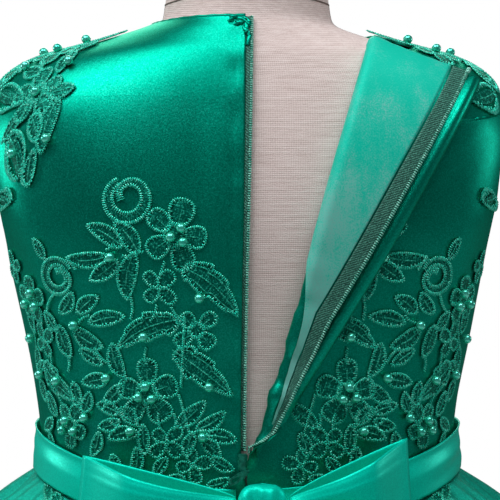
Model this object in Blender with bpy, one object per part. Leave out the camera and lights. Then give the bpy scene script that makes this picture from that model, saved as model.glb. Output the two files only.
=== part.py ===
"""A junior bridesmaid dress on a child's dress form, as solids.

Millimetres in the tables and functions, metres in the scene. +Z is up, the floor is z = 0, and the
dress's back faces -Y. "Left" and "right" are the wearer's, so left is -X.
"""

import math

import bmesh
import bpy
import numpy as np
from mathutils.geometry import delaunay_2d_cdt

MM = 0.001
GAP = 0.3
CLOTH = 1.5
TAPE = 0.8
LINING = 1.0
LACE = 1.2

# The dress form, one row for each ring from its lower edge to the top of its neck. A ring may be
# tilted, so it has a height at the centre back, at the sides and at the centre front.
FIGURE_COLUMNS = ("back_z", "side_z", "front_z", "half_width", "back", "front", "squareness")
FIGURE = {
    "lower_edge": (600, 600, 600, 112, 82, 84, 2.2),
    "hip": (640, 640, 640, 118, 88, 88, 2.2),
    "belly": (685, 692, 692, 111, 81, 86, 2.2),
    "waist": (715, 735, 735, 107, 77, 80, 2.2),
    "above_waist": (756, 766, 764, 111, 78.5, 81, 2.25),
    "rib": (789, 792, 790, 115.5, 80, 83, 2.3),
    "chest": (834, 838, 832, 125, 84, 89, 2.5),
    "armpit": (868, 870, 862, 133, 83, 88, 2.8),
    "blade": (900, 898, 888, 137, 77, 82, 2.9),
    "shoulder": (922, 916, 902, 136.5, 71, 76, 2.7),
    "shoulder_tip": (935, 929, 911, 131, 66.5, 72, 2.4),
    "ridge_1": (943, 936.5, 917, 121, 63.5, 69, 2.2),
    "ridge_2": (948, 942, 921, 108, 61.5, 66.5, 2.1),
    "ridge_3": (953, 947, 924.5, 87, 58.5, 63, 2.0),
    "ridge_4": (958.5, 953.5, 926.5, 66, 55.5, 59, 2.0),
    "neckline": (964, 959.5, 928, 46.5, 52, 55, 2.0),
    "neck_base": (970, 964, 941, 44.5, 50, 52, 2.0),
    "neck": (988, 983, 975, 42.5, 46, 47, 2.0),
    "neck_top": (1025, 1025, 1025, 41, 43, 42, 2.0),
}
ROW = {name: float(i) for i, name in enumerate(FIGURE)}
WAIST, NECKLINE = ROW["waist"], ROW["neckline"]
BACK, SIDE, FRONT = -math.pi / 2, 0.0, math.pi / 2

# The bodice: its inner face stands this far off the form.
EASE_BODY = 1.5
EASE_SHOULDER = 1.0
ARMHOLE_LOW, ARMHOLE_TOP = 5.75, 9.2
ARMHOLE_HALF_TURN = math.radians(25)
NECK_PULLED_BY = 1.1
NECK_PULLED_OVER = math.radians(35)
FLAP_TOP_ROW = 11.7

# The back opening. The right back is folded out along a slanting line, so that its lining shows.
ZIP_BOTTOM, ZIP_TOP = 738.0, 966.0
LEFT_EDGE_LOW, LEFT_EDGE_HIGH = -3.0, -0.6
SEAM_X = 0.0
FOLD_TOP = (66.0, 949.0)
FOLD_LOW = (5.0, 736.0)
FLAP_TOP = (117.0, 929.0)
FOLD_RADIUS = 3.5
FOLD_TURNS_Z = (736, 768)
FLAP_LIFT = 3.0
FOLD_BASE = 3.0
TEETH_FROM_EDGE = 9.0
TAPE_SHOWS = 6.4

# The sash, at the centre back, the side and the centre front.
SASH_TOP_Z = (729, 747.5, 752)
SASH_LOW_Z = (700, 724, 712)
SASH_OUT_LOW, SASH_OUT_TOP = 6.0, 3.6

# The skirts. Each row gives how far down from the sash's lower edge to the hem it is, how far it
# stands out from the form's waist, and how deep its gathers are.
HEM_Z = 315.0
SKIRT_WAIST = (107.0, 78.0)
SKIRT_COLUMNS = ("down", "net_out", "net_gather", "satin_out", "satin_gather")
SKIRT = (
    (0.00, 4.2, 0.0, 2.2, 0.0),
    (0.035, 22, 3.0, 11, 1.0),
    (0.12, 62, 6.0, 45, 3.0),
    (0.34, 122, 9.0, 98, 5.0),
    (0.66, 180, 11.0, 150, 6.0),
    (1.00, 218, 12.0, 184, 7.0),
)
NET_GATHERS, SATIN_GATHERS = 20, 12
POINTS_PER_GATHER = 4
SATIN_SHORTER = 0.96

# The bow: its knot's middle and half its width, depth and height.
BOW_X, BOW_Z = 8.0, 707.0
KNOT_HALF = (13.2, 7.0, 21.5)

# The stand.
POLE_RADIUS, COLLAR_RADIUS, COLLAR_HEIGHT = 12.0, 24.0, 22.0
BASE_RADIUS, BASE_RIM, BASE_HEIGHT = 150.0, 12.0, 20.0
CAP_RADIUS, CAP_HEIGHT = 39.0, 16.0

# The pull tab hangs from the slider, down and to the left.
PULL_PIVOT = (0.5, 733.5)
PULL_LENGTH, PULL_WIDTH, PULL_THICK, PULL_OUT = 13.0, 5.2, 1.2, 8.0
PULL_TURN = math.radians(214)


def spline(rows, at):
    """A smooth cubic through a table: rows is points by columns, at is one number for each result."""
    rows = np.asarray(rows, float)
    rows = np.vstack([2 * rows[0] - rows[1], rows, 2 * rows[-1] - rows[-2]])
    at = np.clip(np.asarray(at, float), 0, len(rows) - 3)
    first = np.minimum(at.astype(int), len(rows) - 4)
    t = (at - first)[..., None]
    a, b, c, d = (rows[first + k] for k in range(4))
    return (
        a * (1 - t) ** 3
        + b * (3 * t**3 - 6 * t**2 + 4)
        + c * (-3 * t**3 + 3 * t**2 + 3 * t + 1)
        + d * t**3
    ) / 6


def ring(turn, half_width, back, front, squareness):
    """x and y at a turn round a section: 0 is +X, a quarter turn is the centre front."""
    c, s = np.cos(turn), np.sin(turn)
    reach = (np.abs(c) ** squareness + np.abs(s) ** squareness) ** (-1 / squareness)
    return reach * c * half_width, reach * s * np.where(s < 0, back, front)


def round_z(turn, back_z, side_z, front_z):
    """The height of a tilted ring at a turn."""
    s = np.sin(turn)
    return side_z + np.where(s < 0, back_z - side_z, front_z - side_z) * s * s


def skin(turn, row):
    """Points on the dress form's own surface."""
    turn, row = np.broadcast_arrays(np.asarray(turn, float), np.asarray(row, float))
    columns = spline(list(FIGURE.values()), row)
    back_z, side_z, front_z, half_width, back, front, squareness = np.moveaxis(columns, -1, 0)
    x, y = ring(turn, half_width, back, front, squareness)
    return np.stack([x, y, round_z(turn, back_z, side_z, front_z)], -1)


def unit(v):
    return v / np.maximum(np.linalg.norm(v, axis=-1, keepdims=True), 1e-9)


def figure(turn, row, out=0.0):
    """Points that stand out from the dress form by a distance, along its normals."""
    step = 0.01
    turn, row = np.asarray(turn, float), np.asarray(row, float)
    along = skin(turn + step, row) - skin(turn - step, row)
    up = skin(turn, row + step) - skin(turn, row - step)
    return skin(turn, row) + np.asarray(out, float)[..., None] * unit(np.cross(along, up))


class BackView:
    """Finds the turn and row of a point on the back or the front from where it is seen: its x and z."""

    def __init__(self, centre):
        self.rows = np.linspace(2, ROW["neck"], 260)
        self.turns = np.linspace(centre, SIDE, 90)
        turn, row = np.meshgrid(self.turns, self.rows, indexing="ij")
        points = skin(turn, row)
        self.z = points[..., 2]
        self.x = points[..., 0]

    def at(self, x, z):
        """The turn and the row at distance x from the middle and height z, on the +X half."""
        levels = np.array([np.interp(z, heights, self.rows) for heights in self.z])
        widths = np.array([np.interp(row, self.rows, xs) for row, xs in zip(levels, self.x)])
        turn = np.interp(x, widths, self.turns)
        return turn, np.interp(turn, *sorted_pair(self.turns, levels))

    def place(self, x, z, out):
        """Points at many x and z, which may be left of the middle, and out from the form."""
        x, z, out = np.broadcast_arrays(*(np.asarray(v, float) for v in (x, z, out)))
        found = np.array([self.at(abs(a), b) for a, b in zip(x.ravel(), z.ravel())])
        turn, row = found[:, 0].reshape(x.shape), found[:, 1].reshape(x.shape)
        points = figure(turn, row, out)
        points[..., 0] *= np.where(x < 0, -1, 1)
        return points


def sorted_pair(keys, values):
    order = np.argsort(keys)
    return keys[order], values[order]


def between(table, i, j):
    """Values of a table between its rows and columns."""
    i0, j0 = i.astype(int), j.astype(int)
    u, v = i - i0, j - j0
    low = table[i0, j0] * (1 - v) + table[i0, j0 + 1] * v
    high = table[i0 + 1, j0] * (1 - v) + table[i0 + 1, j0 + 1] * v
    return low * (1 - u) + high * u


class Unrolled:
    """Flat lengths on the figure's back or front: along a level from the middle, at a height."""

    def __init__(self, centre):
        self.levels = np.arange(700.0, 966.0, 3.0)
        self.steps = np.arange(0.0, 190.0, 2.0)
        rows = np.linspace(2, ROW["neck"], 260)
        turns = np.linspace(centre, -centre * 0.2, 120)
        turn, row = np.meshgrid(turns, rows, indexing="ij")
        heights = skin(turn, row)[..., 2]
        self.turn, self.row, self.x = [], [], []
        for level in self.levels:
            on_row = np.array([np.interp(level, column, rows) for column in heights])
            points = skin(turns, on_row)
            step = np.linalg.norm(np.diff(points[:, :2], axis=0), axis=1)
            length = np.concatenate([[0], np.cumsum(step)])
            self.turn.append(np.interp(self.steps, length, turns))
            self.row.append(np.interp(self.steps, length, on_row))
            self.x.append(np.interp(self.steps, length, points[:, 0]))
        self.turn, self.row, self.x = (np.array(v) for v in (self.turn, self.row, self.x))

    def along(self, x, z):
        """How far along its level a point is that is seen at distance x from the middle."""
        nearest = int(np.clip(round((z - self.levels[0]) / 3.0), 0, len(self.levels) - 1))
        return float(np.interp(x, self.x[nearest], self.steps))

    def place(self, s, z, off):
        """Points off the bodice's outer face, at lengths s from the middle and heights z."""
        s, z, off = np.broadcast_arrays(*(np.asarray(v, float) for v in (s, z, off)))
        i = np.clip((z - self.levels[0]) / 3.0, 0, len(self.levels) - 1.001)
        j = np.clip(np.abs(s) / 2.0, 0, len(self.steps) - 1.001)
        row = between(self.row, i, j)
        points = figure(between(self.turn, i, j), row, ease(row) + CLOTH + off)
        points[..., 0] *= np.where(s < 0, -1, 1)
        return points


def clear_scene():
    for old in list(bpy.data.objects):
        bpy.data.objects.remove(old)


def finish(name, colour, roughness, metallic=0.0, sheen=0.0):
    """A Principled material."""
    made = bpy.data.materials.new(name)
    made.use_nodes = True
    shader = made.node_tree.nodes["Principled BSDF"]
    shader.inputs["Base Color"].default_value = (*colour, 1.0)
    shader.inputs["Roughness"].default_value = roughness
    shader.inputs["Metallic"].default_value = metallic
    shader.inputs["Sheen Weight"].default_value = sheen
    return made


def add(name, points, faces, material):
    """An object from points in millimetres, with its faces turned outward."""
    mesh = bpy.data.meshes.new(name)
    made = bmesh.new()
    used = sorted({i for face in faces for i in face})
    corners = {i: made.verts.new(np.asarray(points[i], float) * MM) for i in used}
    for face in faces:
        made.faces.new([corners[i] for i in face])
    bmesh.ops.recalc_face_normals(made, faces=made.faces)
    made.to_mesh(mesh)
    made.free()
    mesh.materials.append(material)
    mesh.shade_smooth()
    thing = bpy.data.objects.new(name, mesh)
    bpy.context.scene.collection.objects.link(thing)
    return thing


def wall(name, inner, outer, material, loop=False):
    """A closed wall between two grids of points, rows by columns.

    A loop joins its last column to its first.
    """
    rows, columns = inner.shape[:2]
    index = np.arange(rows * columns).reshape(rows, columns)
    far = rows * columns
    faces = []
    last = columns if loop else columns - 1
    for i in range(rows - 1):
        for j in range(last):
            k = (j + 1) % columns
            a, b, c, d = index[i, j], index[i, k], index[i + 1, k], index[i + 1, j]
            falling = np.linalg.norm(outer[i, j] - outer[i + 1, k])
            rising = np.linalg.norm(outer[i, k] - outer[i + 1, j])
            for p, q, r in ((a, b, c), (a, c, d)) if falling < rising else ((a, b, d), (b, c, d)):
                faces += [[far + p, far + q, far + r], [r, q, p]]
    rim = [(index[0, j], index[0, (j + 1) % columns]) for j in range(last)]
    rim += [(index[-1, (j + 1) % columns], index[-1, j]) for j in range(last)]
    if not loop:
        rim += [(index[i, -1], index[i + 1, -1]) for i in range(rows - 1)]
        rim += [(index[i + 1, 0], index[i, 0]) for i in range(rows - 1)]
    faces += [[a, b, far + b, far + a] for a, b in rim]
    points = np.vstack([inner.reshape(-1, 3), outer.reshape(-1, 3)])
    return add(name, points, faces, material)


def thickened(middle, thickness):
    """The two faces of a cloth whose middle surface is a grid of points."""
    normals = unit(np.cross(np.gradient(middle, axis=0), np.gradient(middle, axis=1)))
    return middle - normals * thickness / 2, middle + normals * thickness / 2


def blend(low, high, x):
    """0 below low, 1 above high, and smooth between."""
    t = np.clip((np.asarray(x, float) - low) / (high - low), 0, 1)
    return t * t * (3 - 2 * t)


def ease(row):
    """How far the bodice's inner face stands off the form."""
    return EASE_BODY + (EASE_SHOULDER - EASE_BODY) * blend(ROW["shoulder"], ROW["ridge_2"], row)


def armhole(row):
    """Half the turn that the armhole takes at a row: an oval."""
    t = np.clip((row - ARMHOLE_LOW) / (ARMHOLE_TOP - ARMHOLE_LOW), 0, 1)
    return ARMHOLE_HALF_TURN * np.sqrt(1 - (2 * t - 1) ** 2)


def bodice_rows(top, below=(3.0, 3.7, 4.4, 5.1)):
    """Rows from the waist to the top, closer together at the ends of the armhole."""
    beside = ARMHOLE_LOW + (ARMHOLE_TOP - ARMHOLE_LOW) * (1 - np.cos(np.linspace(0, np.pi, 8))) / 2
    above = np.linspace(ARMHOLE_TOP, top, 7)[1:]
    return np.concatenate([below, beside, above])


def left_edge(z):
    """x of the left back's edge, which leans away from the middle towards the end of the zip."""
    lean = LEFT_EDGE_LOW + (LEFT_EDGE_HIGH - LEFT_EDGE_LOW) * blend(ZIP_BOTTOM, ZIP_TOP, z)
    return SEAM_X - GAP / 2 + (lean - SEAM_X + GAP / 2) * blend(722, ZIP_BOTTOM, z)


def bodice_front(material):
    columns = 14
    seam = math.radians(0.12)
    rows = bodice_rows(NECKLINE)
    share = np.linspace(0, 1, columns + 1)
    open_by = np.maximum(armhole(rows), seam)
    turn = open_by[:, None] + (np.pi - 2 * open_by[:, None]) * share
    pulled = NECK_PULLED_BY * np.exp(-((turn[-1] / NECK_PULLED_OVER) ** 2))
    top = rows[:, None] - pulled * np.clip(
        (rows[:, None] - ARMHOLE_TOP) / (NECKLINE - ARMHOLE_TOP), 0, 1
    )
    off = ease(top)
    return wall("bodice_front", figure(turn, top, off), figure(turn, top, off + CLOTH), material)


def back_left(material):
    columns = 8
    seam = math.radians(0.12)
    rows = bodice_rows(NECKLINE)
    view = BackView(BACK)
    start = []
    for row in rows:
        z = float(skin(BACK, row)[2])
        start.append(np.copysign(view.at(abs(left_edge(z)), z)[0] - BACK, -left_edge(z)) + BACK)
    stop = -np.maximum(armhole(rows), seam)
    share = np.linspace(0, 1, columns + 1)
    turn = np.array(start)[:, None] + (stop - np.array(start))[:, None] * share
    off = ease(rows)[:, None] + 0 * turn
    inner, outer = (figure(turn, rows[:, None] + 0 * turn, o) for o in (off, off + CLOTH))
    inner[..., 0] *= -1
    outer[..., 0] *= -1
    return wall("back_left", inner, outer, material)


class Fold:
    """The turned-out flap of the right back. share is 0 at the waist and 1 at the neckline."""

    def __init__(self):
        self.view = BackView(BACK)
        below = (3.0, 3.25, 3.5, 3.75, 4.0, 4.3, 4.7, 5.2)
        self.side_rows = bodice_rows(NECKLINE - NECK_PULLED_BY, below)
        drop = NECKLINE - NECK_PULLED_BY - FLAP_TOP_ROW
        self.rows = self.side_rows - drop * blend(ARMHOLE_LOW, NECKLINE - NECK_PULLED_BY, self.side_rows)
        self.bend_steps, self.flap_steps = 5, 3

    def distances(self, row):
        """How far from the free edge the columns of the turned cloth lie: edge, tape, flap and bend."""
        _, z, _ = self.start(row)
        angle, length, _ = self.shape(z)
        tape = [0.0, TEETH_FROM_EDGE, TEETH_FROM_EDGE + TAPE_SHOWS]
        tape = [d * min(1, length / (TEETH_FROM_EDGE + TAPE_SHOWS + 6)) for d in tape]
        flap = np.linspace(tape[-1], length, self.flap_steps + 1)[1:]
        bend = length + np.linspace(0, max(FOLD_RADIUS * angle, 0.9), self.bend_steps + 1)[1:]
        return np.concatenate([tape, flap, bend])

    def fold_x(self, z):
        """Where the fold lies at a height."""
        t = (z - FOLD_LOW[1]) / (FOLD_TOP[1] - FOLD_LOW[1])
        return FOLD_LOW[0] + (FOLD_TOP[0] - FOLD_LOW[0]) * np.maximum(t, 0)

    def start(self, row):
        """x, z and turn of the fold on a row of the figure."""
        turns = np.linspace(BACK, SIDE, 200)
        x, _, z = skin(turns, row + 0 * turns).T
        beyond = x - self.fold_x(z)
        turn = float(np.interp(0, beyond, turns))
        x, _, z = skin(turn, row)
        return float(x), float(z), turn

    def shape(self, z):
        """Fold angle, flap length past the bend, and how far the flap leans down, at a fold height."""
        angle = math.pi * float(blend(*FOLD_TURNS_Z, z))
        z = max(z, FOLD_LOW[1])
        t = (z - FOLD_LOW[1]) / (FOLD_TOP[1] - FOLD_LOW[1])
        edge = (
            FOLD_LOW[0] + 1 + (FLAP_TOP[0] - FOLD_LOW[0] - 1) * t,
            FOLD_LOW[1] + (FLAP_TOP[1] - FOLD_LOW[1]) * t,
        )
        length = math.hypot(edge[0] - self.fold_x(z), edge[1] - z)
        lean = math.atan2(edge[1] - z, max(edge[0] - self.fold_x(z), 1e-6))
        settled = float(blend(730, 800, z))
        return angle, max(length, 4.8 - angle), lean * settled

    def between(self, row, from_edge, off):
        """A point on the straight line between the two nearest columns of the turned cloth."""
        steps = self.distances(row)
        k = int(np.clip(np.searchsorted(steps, from_edge) - 1, 0, len(steps) - 2))
        share = (from_edge - steps[k]) / (steps[k + 1] - steps[k])
        return (1 - share) * self.place(row, steps[k], off) + share * self.place(row, steps[k + 1], off)

    def place(self, row, from_edge, off):
        """A point of the turned cloth, from_edge along it from the free edge and off its middle."""
        x0, z0, _ = self.start(row)
        angle, length, lean = self.shape(z0)
        bent = FOLD_RADIUS * angle
        past = length - from_edge
        phi = angle if past >= 0 else max(angle + past / FOLD_RADIUS, 0)
        across = -FOLD_RADIUS * math.sin(phi) - math.cos(phi) * max(past, 0)
        above = FOLD_RADIUS * (1 - math.cos(phi)) + math.sin(phi) * max(past, 0)
        across += max(from_edge - length - bent, 0)
        above += FLAP_LIFT * (max(past, 0) / max(length, 30)) ** 2
        across += off * math.sin(phi)
        above += off * math.cos(phi)
        x = x0 + across * math.cos(lean)
        z = z0 + across * math.sin(lean)
        return self.view.place(x, z, FOLD_BASE + above)


def back_right(fold, material):
    """The right back: flap, bend and the part that stays on the body, row by row."""
    body_columns = 7
    inner, outer = [], []
    for row, side_row in zip(fold.rows, fold.side_rows):
        _, _, turn0 = fold.start(row)
        stop = -max(float(armhole(side_row)), math.radians(0.12))
        share = np.linspace(0, 1, body_columns + 2)[1:]
        turns = turn0 + (stop - turn0) * share
        rows = row + (side_row - row) * share**1.5
        middle = FOLD_BASE + (ease(rows) + CLOTH / 2 - FOLD_BASE) * blend(0, 0.45, share)
        for grid, off in ((inner, -CLOTH / 2), (outer, CLOTH / 2)):
            turned = [fold.place(row, d, off) for d in fold.distances(row)]
            grid.append(np.vstack([np.array(turned), figure(turns, rows, middle + off)]))
    return wall("back_right", np.array(inner), np.array(outer), material)


def on_flap(fold, rows, pick, thickness):
    """The two faces of a strip on the inside of the turned cloth, at picked distances from its edge."""
    off = -(CLOTH / 2 + GAP + thickness / 2)
    inner, outer = [], []
    for row in rows:
        steps = pick(fold.distances(row))
        inner.append([fold.between(row, d, off - thickness / 2) for d in steps])
        outer.append([fold.between(row, d, off + thickness / 2) for d in steps])
    return np.array(inner), np.array(outer)


def back_lining_right(fold, material):
    """The lining on the flap, from the zip tape round most of the fold."""

    def pick(steps):
        return np.concatenate([[steps[2] + 3 * GAP], steps[3:-1]])

    rows = [row for row in fold.rows if fold.start(row)[1] > 760]
    inner, outer = on_flap(fold, rows, pick, LINING)
    return wall("back_lining_right", inner, outer, material)


def zip_tape_right(fold, material):
    rows = [row for row in fold.rows if fold.start(row)[1] > 740]
    inner, outer = on_flap(fold, rows, lambda steps: steps[1:3], TAPE)
    return wall("zip_tape_right", inner, outer, material)


def zip_tape_left(material):
    """The left tape runs beside the left back's edge, wider towards the neck."""
    view = BackView(BACK)
    inner, outer = [], []
    for row in bodice_rows(NECKLINE):
        z = float(skin(BACK, row)[2])
        if ZIP_BOTTOM + 4 < z:
            edge = left_edge(z) + GAP
            x = np.array([edge, edge + 1.8 + 3.0 * float(blend(ZIP_BOTTOM, ZIP_TOP, z))])
            low = float(ease(row)) + 0.2
            inner.append(view.place(x, z, low))
            outer.append(view.place(x, z, low + TAPE))
    return wall("zip_tape_left", np.array(inner), np.array(outer), material)


def band(turns, top_z, low_z, out, rows):
    """Points of a band round the waist between two heights, standing out from the form."""
    view_rows = np.linspace(1, ROW["rib"], 120)
    points = []
    for turn in turns:
        heights = skin(turn, view_rows)[:, 2]
        z = np.linspace(round_z(turn, *low_z), round_z(turn, *top_z), rows)
        row = np.interp(z, heights, view_rows)
        points.append(figure(turn, row, out(turn, np.linspace(0, 1, rows))))
    return np.swapaxes(np.array(points), 0, 1)


def sash(material):
    """The satin sash. Its upper edge stands off the bodice, and its ends meet under the knot."""
    turns = np.linspace(BACK + 0.05, BACK + 2 * np.pi - 0.05, 41)

    def out(turn, up):
        wave = 0.12 * np.sin(5 * turn + 2 * up) + 0.08 * np.sin(9 * turn + 1)
        return SASH_OUT_LOW + (SASH_OUT_TOP - SASH_OUT_LOW) * blend(0.5, 0.95, up) + wave + 0.8 * up**4

    inner = band(turns, SASH_TOP_Z, SASH_LOW_Z, out, 5)
    outer = band(turns, SASH_TOP_Z, SASH_LOW_Z, lambda t, u: out(t, u) + CLOTH, 5)
    return wall("sash", inner, outer, material)


def skirt_grid(turns, column_out, column_gather, gathers, shorter, offset):
    """Points of a gathered skirt, rows by turns.

    The first two rows lie flat, from the waist seam to the sash's edge.
    """
    rest = spline(list(FIGURE.values()), WAIST)
    low_z = round_z(turns, *SASH_LOW_Z)
    seam_z = tuple(rest[:3] - 0.6)
    flat_out = SKIRT[0][column_out] + offset
    grid = list(band(turns, seam_z, SASH_LOW_Z, lambda turn, up: flat_out + 0 * up, 2)[::-1])
    for row in SKIRT[1:]:
        out, gather = row[column_out], row[column_gather]
        z = low_z + (HEM_Z - low_z) * row[0] * shorter
        wave = gather * np.cos(gathers * turns + 0.5 * np.sin(3 * turns) * row[0])
        half_width, depth = SKIRT_WAIST[0] + out, SKIRT_WAIST[1] + out
        x, y = ring(turns, half_width, depth, depth, 2.2 - 0.2 * row[0])
        level = np.stack([x, y], -1)
        level += unit(level) * (wave + offset)[:, None]
        grid.append(np.column_stack([level, z]))
    return np.array(grid)


def skirt(name, half, columns, gathers, shorter, material):
    """One half of a skirt, front or back, between its side seams."""
    seam = math.radians(0.12)
    count = gathers // 2 * POINTS_PER_GATHER
    start = SIDE if half == "front" else -np.pi
    turns = np.linspace(start + seam, start + np.pi - seam, count + 1)
    out, gather = (SKIRT_COLUMNS.index(c) for c in columns)
    inner, outer = (
        skirt_grid(turns, out, gather, gathers, shorter, o)
        for o in (-CLOTH / 2, CLOTH / 2)
    )
    return wall(name, inner, outer, material)


def net_y(x, z):
    """y of the outermost parts of the net at the back."""
    table = np.array(SKIRT)
    low_z = SASH_LOW_Z[1] + (SASH_LOW_Z[0] - SASH_LOW_Z[1]) * (1 - np.minimum(np.abs(x) / 115, 1) ** 2)
    down = np.clip((low_z - z) / (low_z - HEM_Z), 0, 1)
    out = np.interp(down, table[:, 0], table[:, 1] + table[:, 2]) + CLOTH / 2
    edge = np.abs(x) / (SKIRT_WAIST[0] + out)
    return -(SKIRT_WAIST[1] + out) * np.maximum(1 - edge**2.1, 0) ** (1 / 2.1)


def bow_seat(x, z):
    """y of the surface that the bow lies on: the sash round the waist, and the net below it."""
    sash_y = -87.2 + 26 * (np.abs(x) / 110) ** 2.2
    return np.minimum(sash_y, net_y(x, z) - 4.0)


def bow_loop(name, side, reach, top_z, low_z, material):
    """A loop of the bow: out along the sash, round the fold and back over it to the knot.

    Its width fans out from the knot to the fold, where top_z and low_z are its corners.
    """
    near_half = 13.5
    steps = np.linspace(0, 1, 17)
    out_and_back = 1 - np.abs(2 * steps - 1)
    puff = 12 * np.sin(np.pi * out_and_back**1.3) + 5.5 * out_and_back
    turn_round = 6.0 * (1 - np.cos(np.pi * np.clip((steps - 0.4) / 0.2, 0, 1))) / 2
    layer = np.where(steps < 0.6, turn_round, 6.0 + puff * 0.9)
    grid = []
    for t in np.linspace(0, 1, 6):
        far_z = low_z + (top_z - low_z) * t
        near_z = BOW_Z - near_half + 2 * near_half * t
        x = BOW_X + side * (KNOT_HALF[0] + 0.35 + reach * out_and_back * (1 + 0.10 * (1 - t)))
        z = near_z + (far_z - near_z) * out_and_back**0.8
        ripple = 1.3 * np.sin(3 * np.pi * t) * (1 - out_and_back) * (steps > 0.5)
        y = bow_seat(x, z) - layer - ripple
        grid.append(np.column_stack([x, y, z]))
    inner, outer = thickened(np.array(grid), CLOTH)
    return wall(name, inner, outer, material)


def bow_knot(material):
    """The knot: a rounded wrap of sash with soft pleats."""
    centre = np.array([BOW_X, -93.6, BOW_Z])
    half = np.array(KNOT_HALF)
    around, up = 20, 7
    points = []
    for i in range(up):
        v = -1 + 2 * i / (up - 1)
        swell = (1 - 0.4 * abs(v) ** 3) ** 0.5
        turns = np.linspace(0, 2 * np.pi, around, endpoint=False)
        x, y = ring(turns, half[0] * swell, half[1] * swell, half[1] * swell, 4.0)
        y = y + 0.8 * np.cos(x / half[0] * 3 * np.pi) * (np.sin(turns) < 0)
        lean = -(abs(v) ** 1.5) * half[2] * (v < 0)
        points.append(np.column_stack([x, y + lean, np.full(around, v * half[2])]) + centre)
    faces = []
    for i in range(up - 1):
        for j in range(around):
            k = (j + 1) % around
            a, b = i * around, (i + 1) * around
            faces.append([a + j, a + k, b + k, b + j])
    faces.append(list(range(around))[::-1])
    faces.append([(up - 1) * around + j for j in range(around)])
    return add("bow_knot", np.vstack(points), faces, material)


def bow_tail(name, side, length, material):
    """A tail of the bow, which hangs from the knot down over the net."""
    half_near, half_far, drift = 7.0, 30.0, 62.0
    grid = []
    for t in np.linspace(0, 1, 12) ** 1.3:
        slant = 12.0 * t**6
        across = np.linspace(-1, 1, 5)
        half = half_near + (half_far - half_near) * float(blend(0, 0.7, t))
        z = BOW_Z - KNOT_HALF[2] - 1.3 - length * t + slant * across * side
        x = BOW_X + side * (8.0 + drift * t) + half * across
        clear = 9.0 - 2.0 * np.exp(-10 * t) + 1.6 * np.sin(2.5 * across + side) * min(1, 4 * t)
        grid.append(np.column_stack([x, net_y(x, z) - clear, z]))
    inner, outer = thickened(np.array(grid), CLOTH)
    return wall(name, inner, outer, material)


def zip_slider(view, material):
    """The slider: a body on the closed end of the zip, with an ear on each side of the pull's pin."""
    x0, z0 = PULL_PIVOT[0] - 2.6, 737.5
    rows = [(-4.5, 1.6), (-3.6, 2.2), (0.0, 2.5), (3.4, 2.6), (4.5, 2.0)]
    points = []
    for dz, half in rows:
        profile = ((-1, 4.2), (1, 4.2), (1, 5.8), (0.6, 6.6), (-0.6, 6.6), (-1, 5.8))
        for share, out in profile:
            points.append(view.place(x0 + half * share, z0 + dz, out))
    faces = []
    for i in range(len(rows) - 1):
        for j in range(6):
            k = (j + 1) % 6
            faces.append([6 * i + j, 6 * i + k, 6 * i + 6 + k, 6 * i + 6 + j])
    faces.append(list(range(6))[::-1])
    faces.append([6 * (len(rows) - 1) + j for j in range(6)])
    return add("zip_slider", np.vstack(points), faces, material)


def zip_pull(view, material):
    """The teardrop pull tab, with its hole, on its own empty at the pivot."""
    pivot = view.place(*PULL_PIVOT, PULL_OUT)
    out = unit(view.place(*PULL_PIVOT, PULL_OUT + 2) - pivot)
    across = unit(np.cross([0, 0, 1.0], out))
    up = np.cross(out, across)
    down_left = across * math.cos(PULL_TURN) + up * math.sin(PULL_TURN)
    beside = np.cross(out, down_left)
    turns = np.linspace(0, 2 * np.pi, 20, endpoint=False)

    def loop(length, width, start, lift):
        u = start + length * (1 - np.cos(turns)) / 2
        w = width / 2 * np.sin(turns) * (0.55 + 0.45 * (1 - np.cos(turns)) / 2)
        return pivot + u[:, None] * down_left + w[:, None] * beside + lift * out

    rings = [
        loop(PULL_LENGTH, PULL_WIDTH, -1.0, PULL_THICK / 2),
        loop(PULL_LENGTH, PULL_WIDTH, -1.0, -PULL_THICK / 2),
        loop(4.6, 2.4, 5.2, -PULL_THICK / 2),
        loop(4.6, 2.4, 5.2, PULL_THICK / 2),
    ]
    faces = []
    for i in range(4):
        a, b = 20 * i, 20 * ((i + 1) % 4)
        faces += [[a + j, a + (j + 1) % 20, b + (j + 1) % 20, b + j] for j in range(20)]
    made = add("zip_pull", np.vstack(rings), faces, material)
    hinge = bpy.data.objects.new("zip_pull_pivot", None)
    hinge.location = pivot * MM
    bpy.context.scene.collection.objects.link(hinge)
    made.data.transform(hinge.matrix_basis.inverted())
    made.parent = hinge
    return made


def turned(name, profile, material, around=40):
    """A turned piece about the Z axis from (radius, z) pairs, bottom to top."""
    turns = np.linspace(0, 2 * np.pi, around, endpoint=False)
    points = [[0.0, 0.0, profile[0][1]]]
    for radius, z in profile:
        points += [[radius * math.cos(t), radius * math.sin(t), z] for t in turns]
    points.append([0.0, 0.0, profile[-1][1]])
    faces = [[0, 1 + (j + 1) % around, 1 + j] for j in range(around)]
    for i in range(len(profile) - 1):
        a, b = 1 + i * around, 1 + (i + 1) * around
        faces += [[a + j, a + (j + 1) % around, b + (j + 1) % around, b + j] for j in range(around)]
    a, tip = 1 + (len(profile) - 1) * around, len(points) - 1
    faces += [[a + j, a + (j + 1) % around, tip] for j in range(around)]
    return add(name, points, faces, material)


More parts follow.
